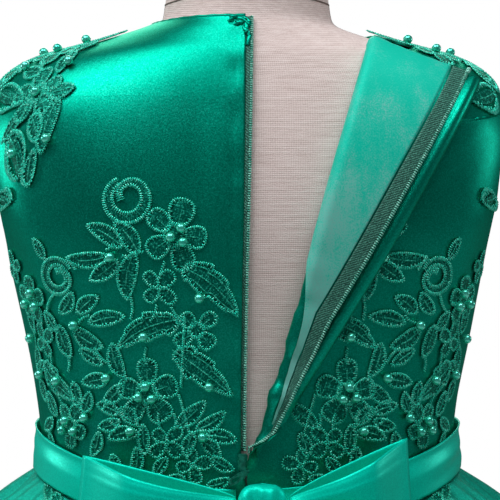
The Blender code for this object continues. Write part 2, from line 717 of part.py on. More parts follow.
def form_torso(material):
    """The dress form's body and neck, closed below and above."""
    around = 30
    rows = np.sort([*range(len(FIGURE)), 3.5, 4.5, 5.5])
    turns = np.linspace(0, 2 * np.pi, around, endpoint=False)
    grid = skin(turns[None, :] + 0 * rows[:, None], rows[:, None] + 0 * turns[None, :])
    points = [*grid.reshape(-1, 3), grid[0].mean(0), grid[-1].mean(0)]
    faces = []
    for i in range(len(rows) - 1):
        for j in range(around):
            k = (j + 1) % around
            a, b = i * around, (i + 1) * around
            faces.append([a + j, a + k, b + k, b + j])
    low, high, last = len(points) - 2, len(points) - 1, (len(rows) - 1) * around
    faces += [[(j + 1) % around, j, low] for j in range(around)]
    faces += [[last + j, last + (j + 1) % around, high] for j in range(around)]
    return add("form_torso", points, faces, material)


def form_stand(wood, steel):
    low = FIGURE["lower_edge"][0]
    top = FIGURE["neck_top"][0]
    rim = [(BASE_RADIUS, 0), (BASE_RADIUS, BASE_RIM), (BASE_RADIUS - 14, BASE_HEIGHT)]
    turned("form_base", [*rim, (20, BASE_HEIGHT)], steel, 32)
    foot, head = BASE_HEIGHT + GAP, low - COLLAR_HEIGHT - 2 * GAP
    turned("form_pole", [(POLE_RADIUS, foot), (POLE_RADIUS, head)], steel, 20)
    turned(
        "form_collar",
        [(18, low - COLLAR_HEIGHT - GAP), (COLLAR_RADIUS, low - 12), (COLLAR_RADIUS, low - GAP)],
        wood,
        24,
    )
    dome = [(CAP_RADIUS - 2, top + GAP), (CAP_RADIUS, top + 5), (CAP_RADIUS - 3, top + 11)]
    turned("form_neck_cap", [*dome, (16, top + CAP_HEIGHT)], wood, 24)


# How far the lace lies off the bodice, how far its shapes are domed, its pearls, and the gap from
# which two shapes are joined by a stem.
LACE_OFF, LACE_CROWN = 0.5, 0.6
PEARL_RADIUS = 2.7
PEARL_SIDES = 5
STEM_FROM = 7.0

# The lace. Each shape is kind, distance from the centre back as seen from behind, height, length
# or radius, width or number of petals, and the turn in degrees of its tip, 0 to the right of a
# viewer behind the left back.
LACE_COLUMNS = ("kind", "x", "z", "size", "width", "turn")
BACK_LACE = (
    ("scroll", 60, 872, 11.5, 4.2, 180),
    ("flower", 34.5, 854, 15.5, 5, 72),
    ("leaf", 70.5, 853, 24, 8, 139),
    ("leaf", 57, 852, 22, 8, 128),
    ("leaf", 80, 842, 24, 7.5, 180),
    ("leaf", 57, 832, 26, 10, 263),
    ("flower", 42.5, 827, 9.5, 4, 45),
    ("leaf", 17, 826, 34, 13, 335),
    ("leaf", 52, 804, 36, 12, 203),
    ("flower", 25, 805, 10.5, 4, 30),
    ("leaf", 21, 785, 35, 13, 325),
    ("scroll", 96, 831, 9.5, 3.8, 90),
    ("flower", 112, 817, 12, 5, 90),
    ("leaf", 95, 815, 20, 9, 28),
    ("leaf", 76, 813, 24, 8, 20),
    ("leaf", 82, 800, 20, 9, 328),
    ("leaf", 98, 799, 24, 8, 293),
    ("leaf", 93, 776, 30, 10.5, 326),
    ("leaf", 66, 787, 24, 8, 107),
    ("flower", 50.5, 772, 14.5, 5, 18),
    ("flower", 90, 753, 11, 5, 50),
    ("leaf", 70, 763, 20, 7.5, 150),
    ("leaf", 58, 749, 26, 7.5, 196),
    ("leaf", 30, 761, 22, 8, 47),
    ("leaf", 17, 755, 22, 7.5, 20),
    ("flower", 41, 745, 9, 4, 45),
)
BACK_PEARLS = (
    (34.5, 854), (67, 843), (24, 822), (51.5, 803), (20, 785), (112, 817), (87, 808), (95, 776),
    (50.5, 776), (48, 769), (90, 753), (58, 752), (25, 805), (41, 745),
)
FRONT_LACE = (
    ("flower", 20, 860, 15, 5, 90),
    ("leaf", 42, 870, 34, 12, 160),
    ("leaf", 22, 838, 34, 12, 270),
    ("leaf", 50, 848, 32, 11, 205),
    ("flower", 72, 838, 13, 5, 10),
    ("leaf", 78, 815, 34, 11, 250),
    ("flower", 30, 810, 14, 5, 36),
    ("leaf", 50, 796, 32, 11, 320),
)
FRONT_PEARLS = ((20, 860), (72, 838), (30, 810))
# The lace on a shoulder is laid out by its distance from the middle and by its distance from the
# shoulder seam over the shoulder, below 0 on the back.
SHOULDER_LACE = (
    ("leaf", 80, -20, 26, 9, 185),
    ("flower", 98, -26, 13, 5, 30),
    ("leaf", 113, -12, 26, 9, 45),
    ("leaf", 120, -44, 26, 9, 300),
    ("flower", 106, -58, 13, 5, 0),
    ("leaf", 118, -80, 30, 10, 280),
    ("leaf", 98, -80, 26, 9, 250),
    ("leaf", 98, 2, 30, 10, 95),
    ("flower", 102, 24, 12, 5, 0),
)
SHOULDER_PEARLS = ((98, -26), (106, -58), (118, -78), (102, 24))


def outline(kind, x, z, size, width, turn):
    """The outline of a lace shape as flat points, drawn with x to the right."""
    a = math.radians(turn)
    if kind == "leaf":
        shape = [(-0.5, 0), (-0.2, 0.45), (0.15, 0.48), (0.5, 0), (0.15, -0.48), (-0.2, -0.45)]
        flat = [(size * u, width * v) for u, v in shape]
    elif kind == "flower":
        flat = []
        for petal in range(int(width)):
            wide, slim = ((-0.5, 0.55), (-0.22, 1.0), (0.22, 1.0)), ((-0.5, 0.6), (0, 1.05))
            for turned_by, reach in wide if width > 4 else slim:
                angle = 2 * math.pi * (petal + turned_by) / width
                flat.append((size * reach * math.cos(angle), size * reach * math.sin(angle)))
    else:
        outer = [math.radians(t) for t in range(-60, 241, 60)]
        flat = [(size * math.cos(t), size * math.sin(t)) for t in outer]
        flat += [((size - width) * math.cos(t), (size - width) * math.sin(t)) for t in outer[::-1]]
    c, s = math.cos(a), math.sin(a)
    return [(x + u * c - v * s, z + u * s + v * c) for u, v in flat]


def inside(point, shape):
    """Whether a flat point lies in an outline."""
    x, y = point
    found = False
    for (x0, y0), (x1, y1) in zip(shape, shape[1:] + shape[:1]):
        if (y0 > y) != (y1 > y) and x < x0 + (y - y0) * (x1 - x0) / (y1 - y0):
            found = not found
    return found


def sink(point, shape, by):
    """A corner of an outline moved towards the middle of the outline."""
    middle = np.mean(shape, axis=0)
    away = middle - np.array(point)
    return np.array(point) + away * by / np.linalg.norm(away)


def crowns_of(shape):
    """Inner points of an outline, which stand higher: two on a leaf's rib, one in a flower."""
    corners = np.array(shape)
    if len(corners) == 6:
        rib = corners[3] - corners[0]
        return [tuple(corners[0] + rib * 0.36), tuple(corners[0] + rib * 0.64)]
    if len(corners) in (8, 15):
        return [tuple(corners.mean(0))]
    return []


def grown(shapes, width):
    """The outlines as one connected growth, and how far each was moved for it.

    Each outline in turn is moved up to the nearest that is already placed, or gets a stem to it
    where that is far.
    """
    corners = [np.array(shape) for shape in shapes]
    moved = [np.zeros(2) for _ in shapes]
    placed, waiting, stems = [0], list(range(1, len(shapes))), []
    while waiting:
        best = None
        for a in placed:
            for b in waiting:
                apart = np.linalg.norm(corners[a][:, None] - corners[b][None], axis=-1)
                i, j = np.unravel_index(np.argmin(apart), apart.shape)
                if best is None or apart[i, j] < best[0]:
                    best = (apart[i, j], a, b, i, j)
        apart, a, b, i, j = best
        target = sink(corners[a][i], corners[a], 1.4)
        tip = sink(corners[b][j], corners[b], 1.0)
        around = list(map(tuple, corners[a]))
        touching = [q for q in corners[b] if inside(sink(q, corners[b], 0.9), around)]
        if not touching and apart < STEM_FROM:
            moved[b] = target - tip
            corners[b] = corners[b] + moved[b]
        elif not touching:
            side = np.array([target[1] - tip[1], tip[0] - target[0]])
            side *= width / 2 / np.linalg.norm(side)
            stems.append([target + side, target - side, tip - side, tip + side])
        placed.append(b)
        waiting.remove(b)
    return [[tuple(p) for p in shape] for shape in (*corners, *stems)], moved


def lace(name, outlines, pearls, place, base, material):
    """A lace patch: the union of flat outlines, laid on the bodice by place, with pearls as domes.

    base gives how far the patch lies off the bodice at flat points.
    """
    outlines = list(outlines)
    crowns = [crown for shape in outlines for crown in crowns_of(shape)]
    first_pearl = len(outlines)
    for x, z in pearls:
        spokes = [2 * math.pi * k / PEARL_SIDES for k in range(PEARL_SIDES)]
        rim = [(PEARL_RADIUS * math.cos(t), PEARL_RADIUS * math.sin(t)) for t in spokes]
        outlines.append([(x + u, z + v) for u, v in rim])
    corners, faces = [], []
    for shape in outlines:
        area = sum(p[0] * q[1] - q[0] * p[1] for p, q in zip(shape, shape[1:] + shape[:1]))
        faces.append(list(range(len(corners), len(corners) + len(shape))))
        corners += shape if area > 0 else shape[::-1]
    first_crown = len(corners)
    corners += crowns
    flat, _, triangles, made_from, _, came_from = delaunay_2d_cdt(corners, [], faces, 1, 0.02, True)
    kept = [(list(t), set(ids)) for t, ids in zip(triangles, came_from) if ids]
    used = sorted({i for t, _ in kept for i in t})
    new = {old: k for k, old in enumerate(used)}
    s = np.array([flat[i][0] for i in used])
    z = np.array([flat[i][1] for i in used])
    count = len(used)
    lift = np.array([LACE_CROWN if any(n >= first_crown for n in made_from[i]) else 0.0 for i in used])
    low = base(s, z)
    points = [*place(s, z, low), *place(s, z, low + LACE + lift)]
    solid = []
    edges = {}
    for t, ids in kept:
        a, b, c = (new[i] for i in t)
        solid.append([c, b, a])
        pearl = [i for i in ids if i >= first_pearl]
        if not pearl:
            solid.append([count + a, count + b, count + c])
        for p, q in ((a, b), (b, c), (c, a)):
            edges[(p, q)] = pearl[0] if pearl else None
    rims = {}
    for (p, q), pearl in edges.items():
        if (q, p) not in edges:
            solid.append([p, q, count + q, count + p])
        if pearl is not None and edges.get((q, p), "none") != pearl:
            rims.setdefault(pearl, []).append((p, q))
    for pearl, rim in rims.items():
        x, height = pearls[pearl - first_pearl]
        centre = np.array([x]), np.array([height])
        points += list(place(*centre, base(*centre) + LACE + PEARL_RADIUS))
        for p, q in rim:
            solid.append([count + p, count + q, len(points) - 1])
    return add(name, points, solid, material)


def patch(table, pearls, along, side, keep=lambda x, z: True):
    """Lace outlines and pearls with each place turned into flat lengths, mirrored for the other side."""
    shapes = []
    for kind, x, z, size, width, turn in table:
        if keep(x, z):
            drawn = outline(kind, 0, 0, size, width, turn)
            s = along(x, z)
            shapes.append([(side * (s - u), z + v) for u, v in drawn])
    centres = np.array([np.mean(shape, axis=0) for shape in shapes])
    solid = [len(shape) != 14 for shape in shapes]
    shapes, moved = grown(shapes, 1.8)
    dots = []
    for x, z in pearls:
        if keep(x, z):
            dot = np.array([side * along(x, z), z])
            apart = np.linalg.norm(centres - dot, axis=1) + np.where(solid, 0, 1e3)
            nearest = int(np.argmin(apart))
            dots.append(tuple(0.5 * (dot + centres[nearest]) + moved[nearest]))
    return shapes, dots


class OverShoulder:
    """Flat lengths over a shoulder: x from the middle, and the length from the seam at that x."""

    def __init__(self):
        self.xs = np.arange(60.0, 131.0, 2.0)
        self.steps = np.arange(-130.0, 70.0, 2.0)
        ridge = np.linspace(ROW["blade"] + 0.5, NECKLINE, 300)
        widths = skin(0 * ridge, ridge)[:, 0]
        self.turn, self.row = [], []
        for x in self.xs:
            start = np.interp(-x, -widths, ridge)
            down = start - (start - ROW["chest"]) * np.linspace(0, 1, 60) ** 2
            back, back_turns = self.side_of(x, down, BACK)
            front, front_turns = self.side_of(x, down, FRONT)
            length = np.concatenate([-back[::-1], front[1:]])
            turns = np.concatenate([back_turns[::-1], front_turns[1:]])
            rows = np.concatenate([down[::-1], down[1:]])
            self.turn.append(np.interp(self.steps, length, turns))
            self.row.append(np.interp(self.steps, length, rows))
        self.turn, self.row = np.array(self.turn), np.array(self.row)

    def side_of(self, x, rows, centre):
        """Lengths and turns down from the seam at one x, to the back or to the front."""
        turns = np.linspace(SIDE, centre, 200)
        widths = [skin(turns, row + 0 * turns)[:, 0] for row in rows[1:]]
        turn = [0.0] + [float(np.interp(-x, -width, turns)) for width in widths]
        points = skin(turn, rows)
        step = np.linalg.norm(np.diff(points, axis=0), axis=1)
        return np.concatenate([[0], np.cumsum(step)]), np.array(turn)

    def place(self, x, p, off):
        """Points at distances x from the middle, to -X if below 0, and lengths p from the seam."""
        x, p, off = np.broadcast_arrays(*(np.asarray(v, float) for v in (x, p, off)))
        i = np.clip((np.abs(x) - self.xs[0]) / 2.0, 0, len(self.xs) - 1.001)
        j = np.clip((p - self.steps[0]) / 2.0, 0, len(self.steps) - 1.001)
        row = between(self.row, i, j)
        points = figure(between(self.turn, i, j), row, ease(row) + CLOTH + off)
        points[..., 0] *= np.where(x < 0, -1, 1)
        return points


def main():
    clear_scene()
    satin = finish("satin", (0.0, 0.20, 0.13), 0.35, 0.0, 0.3)
    sash_satin = finish("sash_satin", (0.0, 0.36, 0.25), 0.35, 0.0, 0.3)
    lining = finish("lining", (0.05, 0.45, 0.33), 0.45)
    tape = finish("zip_tape", (0.0, 0.14, 0.09), 0.7)
    enamel = finish("zip_enamel", (0.0, 0.25, 0.16), 0.3, 0.5)
    net = finish("net", (0.0, 0.30, 0.20), 0.8)
    thread = finish("lace_thread", (0.0, 0.24, 0.16), 0.6)
    linen = finish("linen", (0.62, 0.54, 0.50), 0.9)
    wood = finish("wood", (0.55, 0.38, 0.22), 0.5)
    steel = finish("painted_steel", (0.75, 0.75, 0.74), 0.35)

    bodice_front(satin)
    back_left(satin)
    fold = Fold()
    back_right(fold, satin)
    back_lining_right(fold, lining)
    zip_tape_right(fold, tape)
    zip_tape_left(tape)
    view = fold.view
    zip_slider(view, enamel)
    zip_pull(view, enamel)

    sash(sash_satin)
    bow_knot(sash_satin)
    bow_loop("bow_loop_left", -1, 78.0, 740.0, 668.0, sash_satin)
    bow_loop("bow_loop_right", 1, 60.0, 749.0, 666.0, sash_satin)
    bow_tail("bow_tail_left", -1, 265.0, sash_satin)
    bow_tail("bow_tail_right", 1, 245.0, sash_satin)

    for half in ("front", "back"):
        skirt(f"skirt_{half}", half, ("satin_out", "satin_gather"), SATIN_GATHERS, SATIN_SHORTER, satin)
        skirt(f"tulle_{half}", half, ("net_out", "net_gather"), NET_GATHERS, 1.0, net)

    back_flat, front_flat, shoulder = Unrolled(BACK), Unrolled(FRONT), OverShoulder()

    def on_cloth(s, z):
        return LACE_OFF + 0 * s

    def on_turned_back(s, z):
        """The right back stands a little further off beside its fold."""
        beside = (s - fold.fold_x(z)) / (130 - fold.fold_x(z))
        return LACE_OFF + (FOLD_BASE - EASE_BODY - CLOTH / 2) * (1 - blend(0, 0.45, beside))

    def beside_flap(x, z):
        return x > fold.fold_x(z) + 14

    sides = (("left", -1, lambda x, z: True, on_cloth), ("right", 1, beside_flap, on_turned_back))
    for name, side, keep, base in sides:
        shapes, dots = patch(BACK_LACE, BACK_PEARLS, back_flat.along, side, keep)
        lace(f"lace_back_{name}", shapes, dots, back_flat.place, base, thread)
        shapes, dots = patch(FRONT_LACE, FRONT_PEARLS, front_flat.along, side)
        lace(f"lace_front_{name}", shapes, dots, front_flat.place, on_cloth, thread)
        shapes, dots = patch(SHOULDER_LACE, SHOULDER_PEARLS, lambda x, p: x, side)
        lace(f"lace_shoulder_{name}", shapes, dots, shoulder.place, on_cloth, thread)

    form_torso(linen)
    form_stand(wood, steel)


main()
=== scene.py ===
"""The look of a junior bridesmaid dress on a child's dress form.

Tables and functions are in millimetres and the scene is in metres. +Z is up and the dress's back
faces -Y. "Left" and "right" are the wearer's, so left is -X. The figure, the fold of the right back,
the sash, bow and skirts follow the formulas of the solids and nearly all their sizes, in finer steps.
"""

import math

import bmesh
import bpy
import numpy as np
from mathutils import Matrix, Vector


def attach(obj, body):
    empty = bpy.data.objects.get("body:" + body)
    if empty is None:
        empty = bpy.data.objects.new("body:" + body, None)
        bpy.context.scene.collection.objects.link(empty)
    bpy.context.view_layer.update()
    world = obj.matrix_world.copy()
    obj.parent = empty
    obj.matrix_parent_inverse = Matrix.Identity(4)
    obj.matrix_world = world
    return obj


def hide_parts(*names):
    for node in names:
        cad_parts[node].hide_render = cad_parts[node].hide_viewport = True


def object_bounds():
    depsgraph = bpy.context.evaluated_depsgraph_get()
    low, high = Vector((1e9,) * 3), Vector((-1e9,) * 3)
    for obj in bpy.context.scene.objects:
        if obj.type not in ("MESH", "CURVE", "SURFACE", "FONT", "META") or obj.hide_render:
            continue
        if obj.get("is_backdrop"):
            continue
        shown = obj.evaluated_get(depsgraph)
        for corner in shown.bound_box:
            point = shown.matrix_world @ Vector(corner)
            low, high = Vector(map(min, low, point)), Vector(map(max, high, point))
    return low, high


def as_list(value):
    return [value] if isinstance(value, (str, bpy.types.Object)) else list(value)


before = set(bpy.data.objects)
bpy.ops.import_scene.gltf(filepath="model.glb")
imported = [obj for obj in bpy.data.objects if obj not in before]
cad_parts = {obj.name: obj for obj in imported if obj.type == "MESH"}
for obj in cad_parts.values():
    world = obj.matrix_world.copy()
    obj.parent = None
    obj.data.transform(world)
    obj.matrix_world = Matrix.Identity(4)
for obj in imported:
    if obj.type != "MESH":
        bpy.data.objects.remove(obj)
SOLID_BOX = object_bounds()
DRESS = "dress_and_form"

MM = 0.001
GAP = 0.3
CLOTH, TAPE, LINING, LACE = 1.5, 0.8, 1.0, 1.2
SHEET, NET_SHEET = 0.8, 0.5

# The dress form, one row for each ring from its lower edge to the top of its neck. A ring may be
# tilted, so it has a height at the centre back, at the sides and at the centre front. Then come half
# its width, its depth to the back and to the front, and how square it is.
FIGURE = {
    "lower_edge": (600, 600, 600, 112, 82, 84, 2.2),
    "hip": (640, 640, 640, 118, 88, 88, 2.2),
    "belly": (685, 692, 692, 111, 81, 86, 2.2),
    "waist": (715, 735, 735, 107, 77, 80, 2.2),
    "above_waist": (756, 766, 764, 111, 78.5, 81, 2.25),
    "rib": (789, 792, 790, 115.5, 80, 83, 2.3),
    "chest": (834, 838, 832, 125, 84, 89, 2.5),
    "armpit": (868, 870, 862, 133, 83, 88, 2.8),
    "blade": (900, 898, 888, 137, 77, 82, 2.9),
    "shoulder": (922, 916, 902, 136.5, 71, 76, 2.7),
    "shoulder_tip": (935, 929, 911, 131, 66.5, 72, 2.4),
    "ridge_1": (943, 936.5, 917, 121, 63.5, 69, 2.2),
    "ridge_2": (948, 942, 921, 108, 61.5, 66.5, 2.1),
    "ridge_3": (953, 947, 924.5, 87, 58.5, 63, 2.0),
    "ridge_4": (958.5, 953.5, 926.5, 66, 55.5, 59, 2.0),
    "neckline": (964, 959.5, 928, 46.5, 52, 55, 2.0),
    "neck_base": (970, 964, 941, 44.5, 50, 52, 2.0),
    "neck": (988, 983, 975, 42.5, 46, 47, 2.0),
    "neck_top": (1025, 1025, 1025, 41, 43, 42, 2.0),
}
ROW = {name: float(i) for i, name in enumerate(FIGURE)}
WAIST, NECKLINE = ROW["waist"], ROW["neckline"]
BACK, SIDE, FRONT = -math.pi / 2, 0.0, math.pi / 2
LEFT, RIGHT = -1, 1
SIDE_SEAM = math.radians(0.12)

# The bodice: its inner face stands this far off the form.
EASE_BODY, EASE_SHOULDER = 1.5, 1.0
ARMHOLE_LOW, ARMHOLE_TOP = 5.75, 9.2
ARMHOLE_HALF_TURN = math.radians(25)
NECK_PULLED_BY, NECK_PULLED_OVER = 1.1, math.radians(35)
FLAP_TOP_ROW = 11.7

# The back opening, with the right back folded out along a slanting line. Pairs named Z are heights
# between which the cloth goes over from one form to another.
ZIP_BOTTOM, ZIP_TOP = 738.0, 966.0
LEFT_EDGE_LOW, LEFT_EDGE_HIGH = -3.0, -0.6
SEAM_X, SEAM_CLOSED_Z = 0.0, 722
FOLD_TOP, FOLD_LOW, FLAP_TOP = (66.0, 949.0), (5.0, 736.0), (117.0, 929.0)
FOLD_RADIUS, FOLD_TURNS_Z, FLAP_LIFT, FOLD_BASE = 3.5, (735, 756), 3.0, 3.0
TEETH_FROM_EDGE, TAPE_SHOWS = 9.0, 6.4
FLAP_LEANS_Z, RIPPLES_Z, RIPPLES_END_Z = (730, 800), (780, 860), (738, 757)
LINING_LOW_Z, TAPE_LOW_Z, EDGE_ROLL_Z = 758, 741, (755, 775)
SHORTEST_FLAP, LEAST_BEND, FLAP_COLUMNS = 4.8, 0.3, 34

# The sash, at the centre back, the side and the centre front.
SASH_TOP_Z, SASH_LOW_Z = (723.5, 747.5, 752), (700, 724, 712)
SASH_OUT_LOW, SASH_OUT_TOP = 6.0, 3.6
SASH_HALF_WIDTH = 115

# The skirts. Each row gives how far down from the sash's lower edge to the hem it is, how far it
# stands out from the form's waist, and how deep its gathers are.
HEM_Z = 315.0
SKIRT_WAIST = (107.0, 78.0)
SKIRT_COLUMNS = ("down", "net_out", "net_gather", "satin_out", "satin_gather")
SKIRT = (
    (0.00, 4.2, 0.0, 2.2, 0.0),
    (0.035, 22, 3.0, 11, 1.0),
    (0.12, 62, 6.0, 45, 3.0),
    (0.34, 122, 9.0, 98, 5.0),
    (0.66, 180, 11.0, 150, 6.0),
    (1.00, 218, 12.0, 184, 7.0),
)
NET_GATHERS, SATIN_GATHERS = 20, 12
SATIN_SHORTER = 0.96

# The bow: its knot's middle and half its width, depth and height. Then the sash behind it: its y at
# the centre back, and how far it bends away at a distance from there.
BOW_X, BOW_Y, BOW_Z = 8.0, -93.6, 707.0
KNOT_HALF = (13.2, 7.0, 21.5)
SEAT_Y, SEAT_BENDS, SEAT_HALF_WIDTH = -87.2, 26, 110

# The stand, and the mean radius of the form, for its weave.
POLE_RADIUS, COLLAR_RADIUS, COLLAR_HEIGHT = 12.0, 24.0, 22.0
BASE_RADIUS, BASE_RIM, BASE_HEIGHT = 150.0, 12.0, 20.0
CAP_RADIUS, CAP_HEIGHT = 39.0, 16.0
MEAN_RADIUS = 105

# The main creases of the bodice: x and z of both ends, how wide they are and how far they stand out,
# or sink in if below 0.
BACK_CREASES = (
    (-6.5, 956, -8.5, 742, 1.2, -0.5),
    (-15, 905, -18, 765, 7.0, 0.8),
    (-28, 925, -24, 820, 9.0, -0.7),
    (-128, 905, -92, 866, 9.0, -1.3),
    (-130, 880, -98, 842, 7.0, 1.1),
    (-124, 850, -104, 815, 5.0, -0.8),
    (-64, 756, -68, 806, 4.5, 1.0),
    (-54, 752, -53, 788, 3.5, -0.9),
    (-88, 758, -95, 800, 4.5, 0.9),
    (-36, 748, -31, 792, 4.5, -0.8),
    (-105, 770, -113, 824, 5.0, -1.0),
    (-78, 932, -112, 903, 12.0, 0.9),
    (128, 902, 96, 872, 9.0, -1.2),
    (131, 876, 104, 846, 7.0, 1.0),
    (124, 846, 108, 812, 5.0, -0.8),
    (72, 754, 78, 800, 4.5, 0.9),
    (94, 760, 99, 806, 5.0, -0.9),
    (40, 748, 50, 786, 4.5, 0.8),
    (110, 772, 117, 820, 5.0, 0.9),
    (26, 744, 36, 770, 3.5, -0.7),
)
FRONT_CREASES = (
    (-16, 760, -20, 812, 5.0, 0.9),
    (14, 758, 22, 800, 4.5, -0.9),
    (-48, 762, -56, 820, 5.5, -1.0),
    (52, 764, 63, 826, 5.5, 1.0),
    (-84, 770, -93, 826, 5.0, 1.0),
    (86, 768, 96, 818, 5.0, -0.9),
    (-126, 892, -92, 862, 8.0, -1.2),
    (128, 896, 90, 868, 8.0, 1.1),
    (-60, 905, -20, 880, 9.0, 0.8),
    (58, 902, 24, 884, 9.0, -0.7),
    (-122, 858, -96, 834, 6.0, 0.9),
    (121, 852, 100, 826, 6.0, -0.9),
)


# The figure

def spline(rows, at):
    """A smooth cubic through a table: rows is points by columns, at is one number for each result."""
    rows = np.asarray(rows, float)
    rows = np.vstack([2 * rows[0] - rows[1], rows, 2 * rows[-1] - rows[-2]])
    at = np.clip(np.asarray(at, float), 0, len(rows) - 3)
    first = np.minimum(at.astype(int), len(rows) - 4)
    t = (at - first)[..., None]
    a, b, c, d = (rows[first + k] for k in range(4))
    return (
        a * (1 - t) ** 3
        + b * (3 * t**3 - 6 * t**2 + 4)
        + c * (-3 * t**3 + 3 * t**2 + 3 * t + 1)
        + d * t**3
    ) / 6


def ring(turn, half_width, back, front, squareness):
    """x and y at a turn round a section: 0 is +X, a quarter turn is the centre front."""
    c, s = np.cos(turn), np.sin(turn)
    reach = (np.abs(c) ** squareness + np.abs(s) ** squareness) ** (-1 / squareness)
    return reach * c * half_width, reach * s * np.where(s < 0, back, front)


def round_z(turn, back_z, side_z, front_z):
    """The height of a tilted ring at a turn."""
    s = np.sin(turn)
    return side_z + np.where(s < 0, back_z - side_z, front_z - side_z) * s * s


def skin(turn, row):
    """Points on the dress form's own surface."""
    turn, row = whole(turn, row)
    columns = spline(list(FIGURE.values()), row)
    back_z, side_z, front_z, half_width, back, front, squareness = np.moveaxis(columns, -1, 0)
    x, y = ring(turn, half_width, back, front, squareness)
    return joined(x, y, round_z(turn, back_z, side_z, front_z))


def unit(v):
    """Vectors of length 1."""
    return v / np.maximum(np.linalg.norm(v, axis=-1, keepdims=True), 1e-9)


def full_turn(count):
    """Turns round a full circle, in even steps."""
    return np.linspace(0, 2 * np.pi, count, endpoint=False)


def whole(*values):
    """Numbers or arrays as arrays of one shape."""
    return np.broadcast_arrays(*(np.asarray(v, float) for v in values))


def joined(*coordinates):
    """Points from their coordinates."""
    return np.stack(np.broadcast_arrays(*coordinates), -1)


def mirrored(points, across):
    """Points of the right half, turned over to the left where across is below 0."""
    points[..., 0] *= np.where(across < 0, -1, 1)
    return points


def lengths(path):
    """How far along a path each of its points lies."""
    return np.append(0, np.cumsum(np.linalg.norm(np.diff(path, axis=0), axis=1)))


def sampled(path, along, at):
    """A path's points, or its normals, at lengths along it."""
    return np.stack([np.interp(at, along, column) for column in path.T], -1)


def figure(turn, row, out=0.0):
    """Points that stand out from the dress form by a distance, along its normals."""
    step = 0.01
    turn, row = np.asarray(turn, float), np.asarray(row, float)
    along = skin(turn + step, row) - skin(turn - step, row)
    up = skin(turn, row + step) - skin(turn, row - step)
    return skin(turn, row) + np.asarray(out, float)[..., None] * unit(np.cross(along, up))


def blend(low, high, x):
    """0 below low, 1 above high, and smooth between."""
    t = np.clip((np.asarray(x, float) - low) / (high - low), 0, 1)
    return t * t * (3 - 2 * t)


def bump_at(x, middle, width):
    """1 at the middle, falling off softly on both sides."""
    return np.exp(-(((x - middle) / width) ** 2))


def ease(row):
    """How far the bodice's inner face stands off the form."""
    return EASE_BODY + (EASE_SHOULDER - EASE_BODY) * blend(ROW["shoulder"], ROW["ridge_2"], row)


def armhole(row):
    """Half the turn that the armhole takes at a row: an oval."""
    t = np.clip((row - ARMHOLE_LOW) / (ARMHOLE_TOP - ARMHOLE_LOW), 0, 1)
    return ARMHOLE_HALF_TURN * np.sqrt(1 - (2 * t - 1) ** 2)


def bodice_rows(top):
    """Rows from the waist to the top, closer together at the ends of the armhole."""
    below = np.linspace(WAIST, ARMHOLE_LOW, 26)[:-1]
    beside = ARMHOLE_LOW + (ARMHOLE_TOP - ARMHOLE_LOW) * (1 - np.cos(np.linspace(0, np.pi, 44))) / 2
    above = np.linspace(ARMHOLE_TOP, top, 34)[1:]
    return np.concatenate([below, beside, above])


def left_edge(z):
    """x of the left back's edge, which leans away from the middle towards the end of the zip."""
    lean = LEFT_EDGE_LOW + (LEFT_EDGE_HIGH - LEFT_EDGE_LOW) * blend(ZIP_BOTTOM, ZIP_TOP, z)
    return SEAM_X - GAP / 2 + (lean - SEAM_X + GAP / 2) * blend(SEAM_CLOSED_Z, ZIP_BOTTOM, z)


def creases(table, x, z):
    """How far the cloth stands out at x and z: soft ridges and troughs that fade at their ends."""
    total = np.zeros(np.broadcast(x, z).shape)
    for x0, z0, x1, z1, width, out in table:
        dx, dz = x1 - x0, z1 - z0
        t = ((x - x0) * dx + (z - z0) * dz) / (dx * dx + dz * dz)
        near = np.clip(t, 0, 1)
        apart = np.hypot(x - x0 - near * dx, z - z0 - near * dz)
        total = total + out * np.exp(-((apart / width) ** 2)) * (0.35 + 0.65 * np.sin(np.pi * near))
    return total


def zip_puckers(x, z):
    """Small puckers beside the zip's stitching on the left back."""
    return 0.28 * np.sin(z / 3.1 + 1.7 * np.sin(z / 17)) * bump_at(x, -5.5, 4.0) * (np.asarray(x) < 1)


def back_relief(x, z):
    return creases(BACK_CREASES, x, z) + zip_puckers(x, z)


def front_relief(x, z):
    return creases(FRONT_CREASES, x, z)


def between(table, i, j):
    """Values of a table between its rows and columns."""
    last_cell = 1.001
    i, j = (np.clip(at, 0, count - last_cell) for at, count in zip((i, j), table.shape))
    i0, j0 = i.astype(int), j.astype(int)
    u, v = i - i0, j - j0
    low = table[i0, j0] * (1 - v) + table[i0, j0 + 1] * v
    high = table[i0 + 1, j0] * (1 - v) + table[i0 + 1, j0 + 1] * v
    return low * (1 - u) + high * u


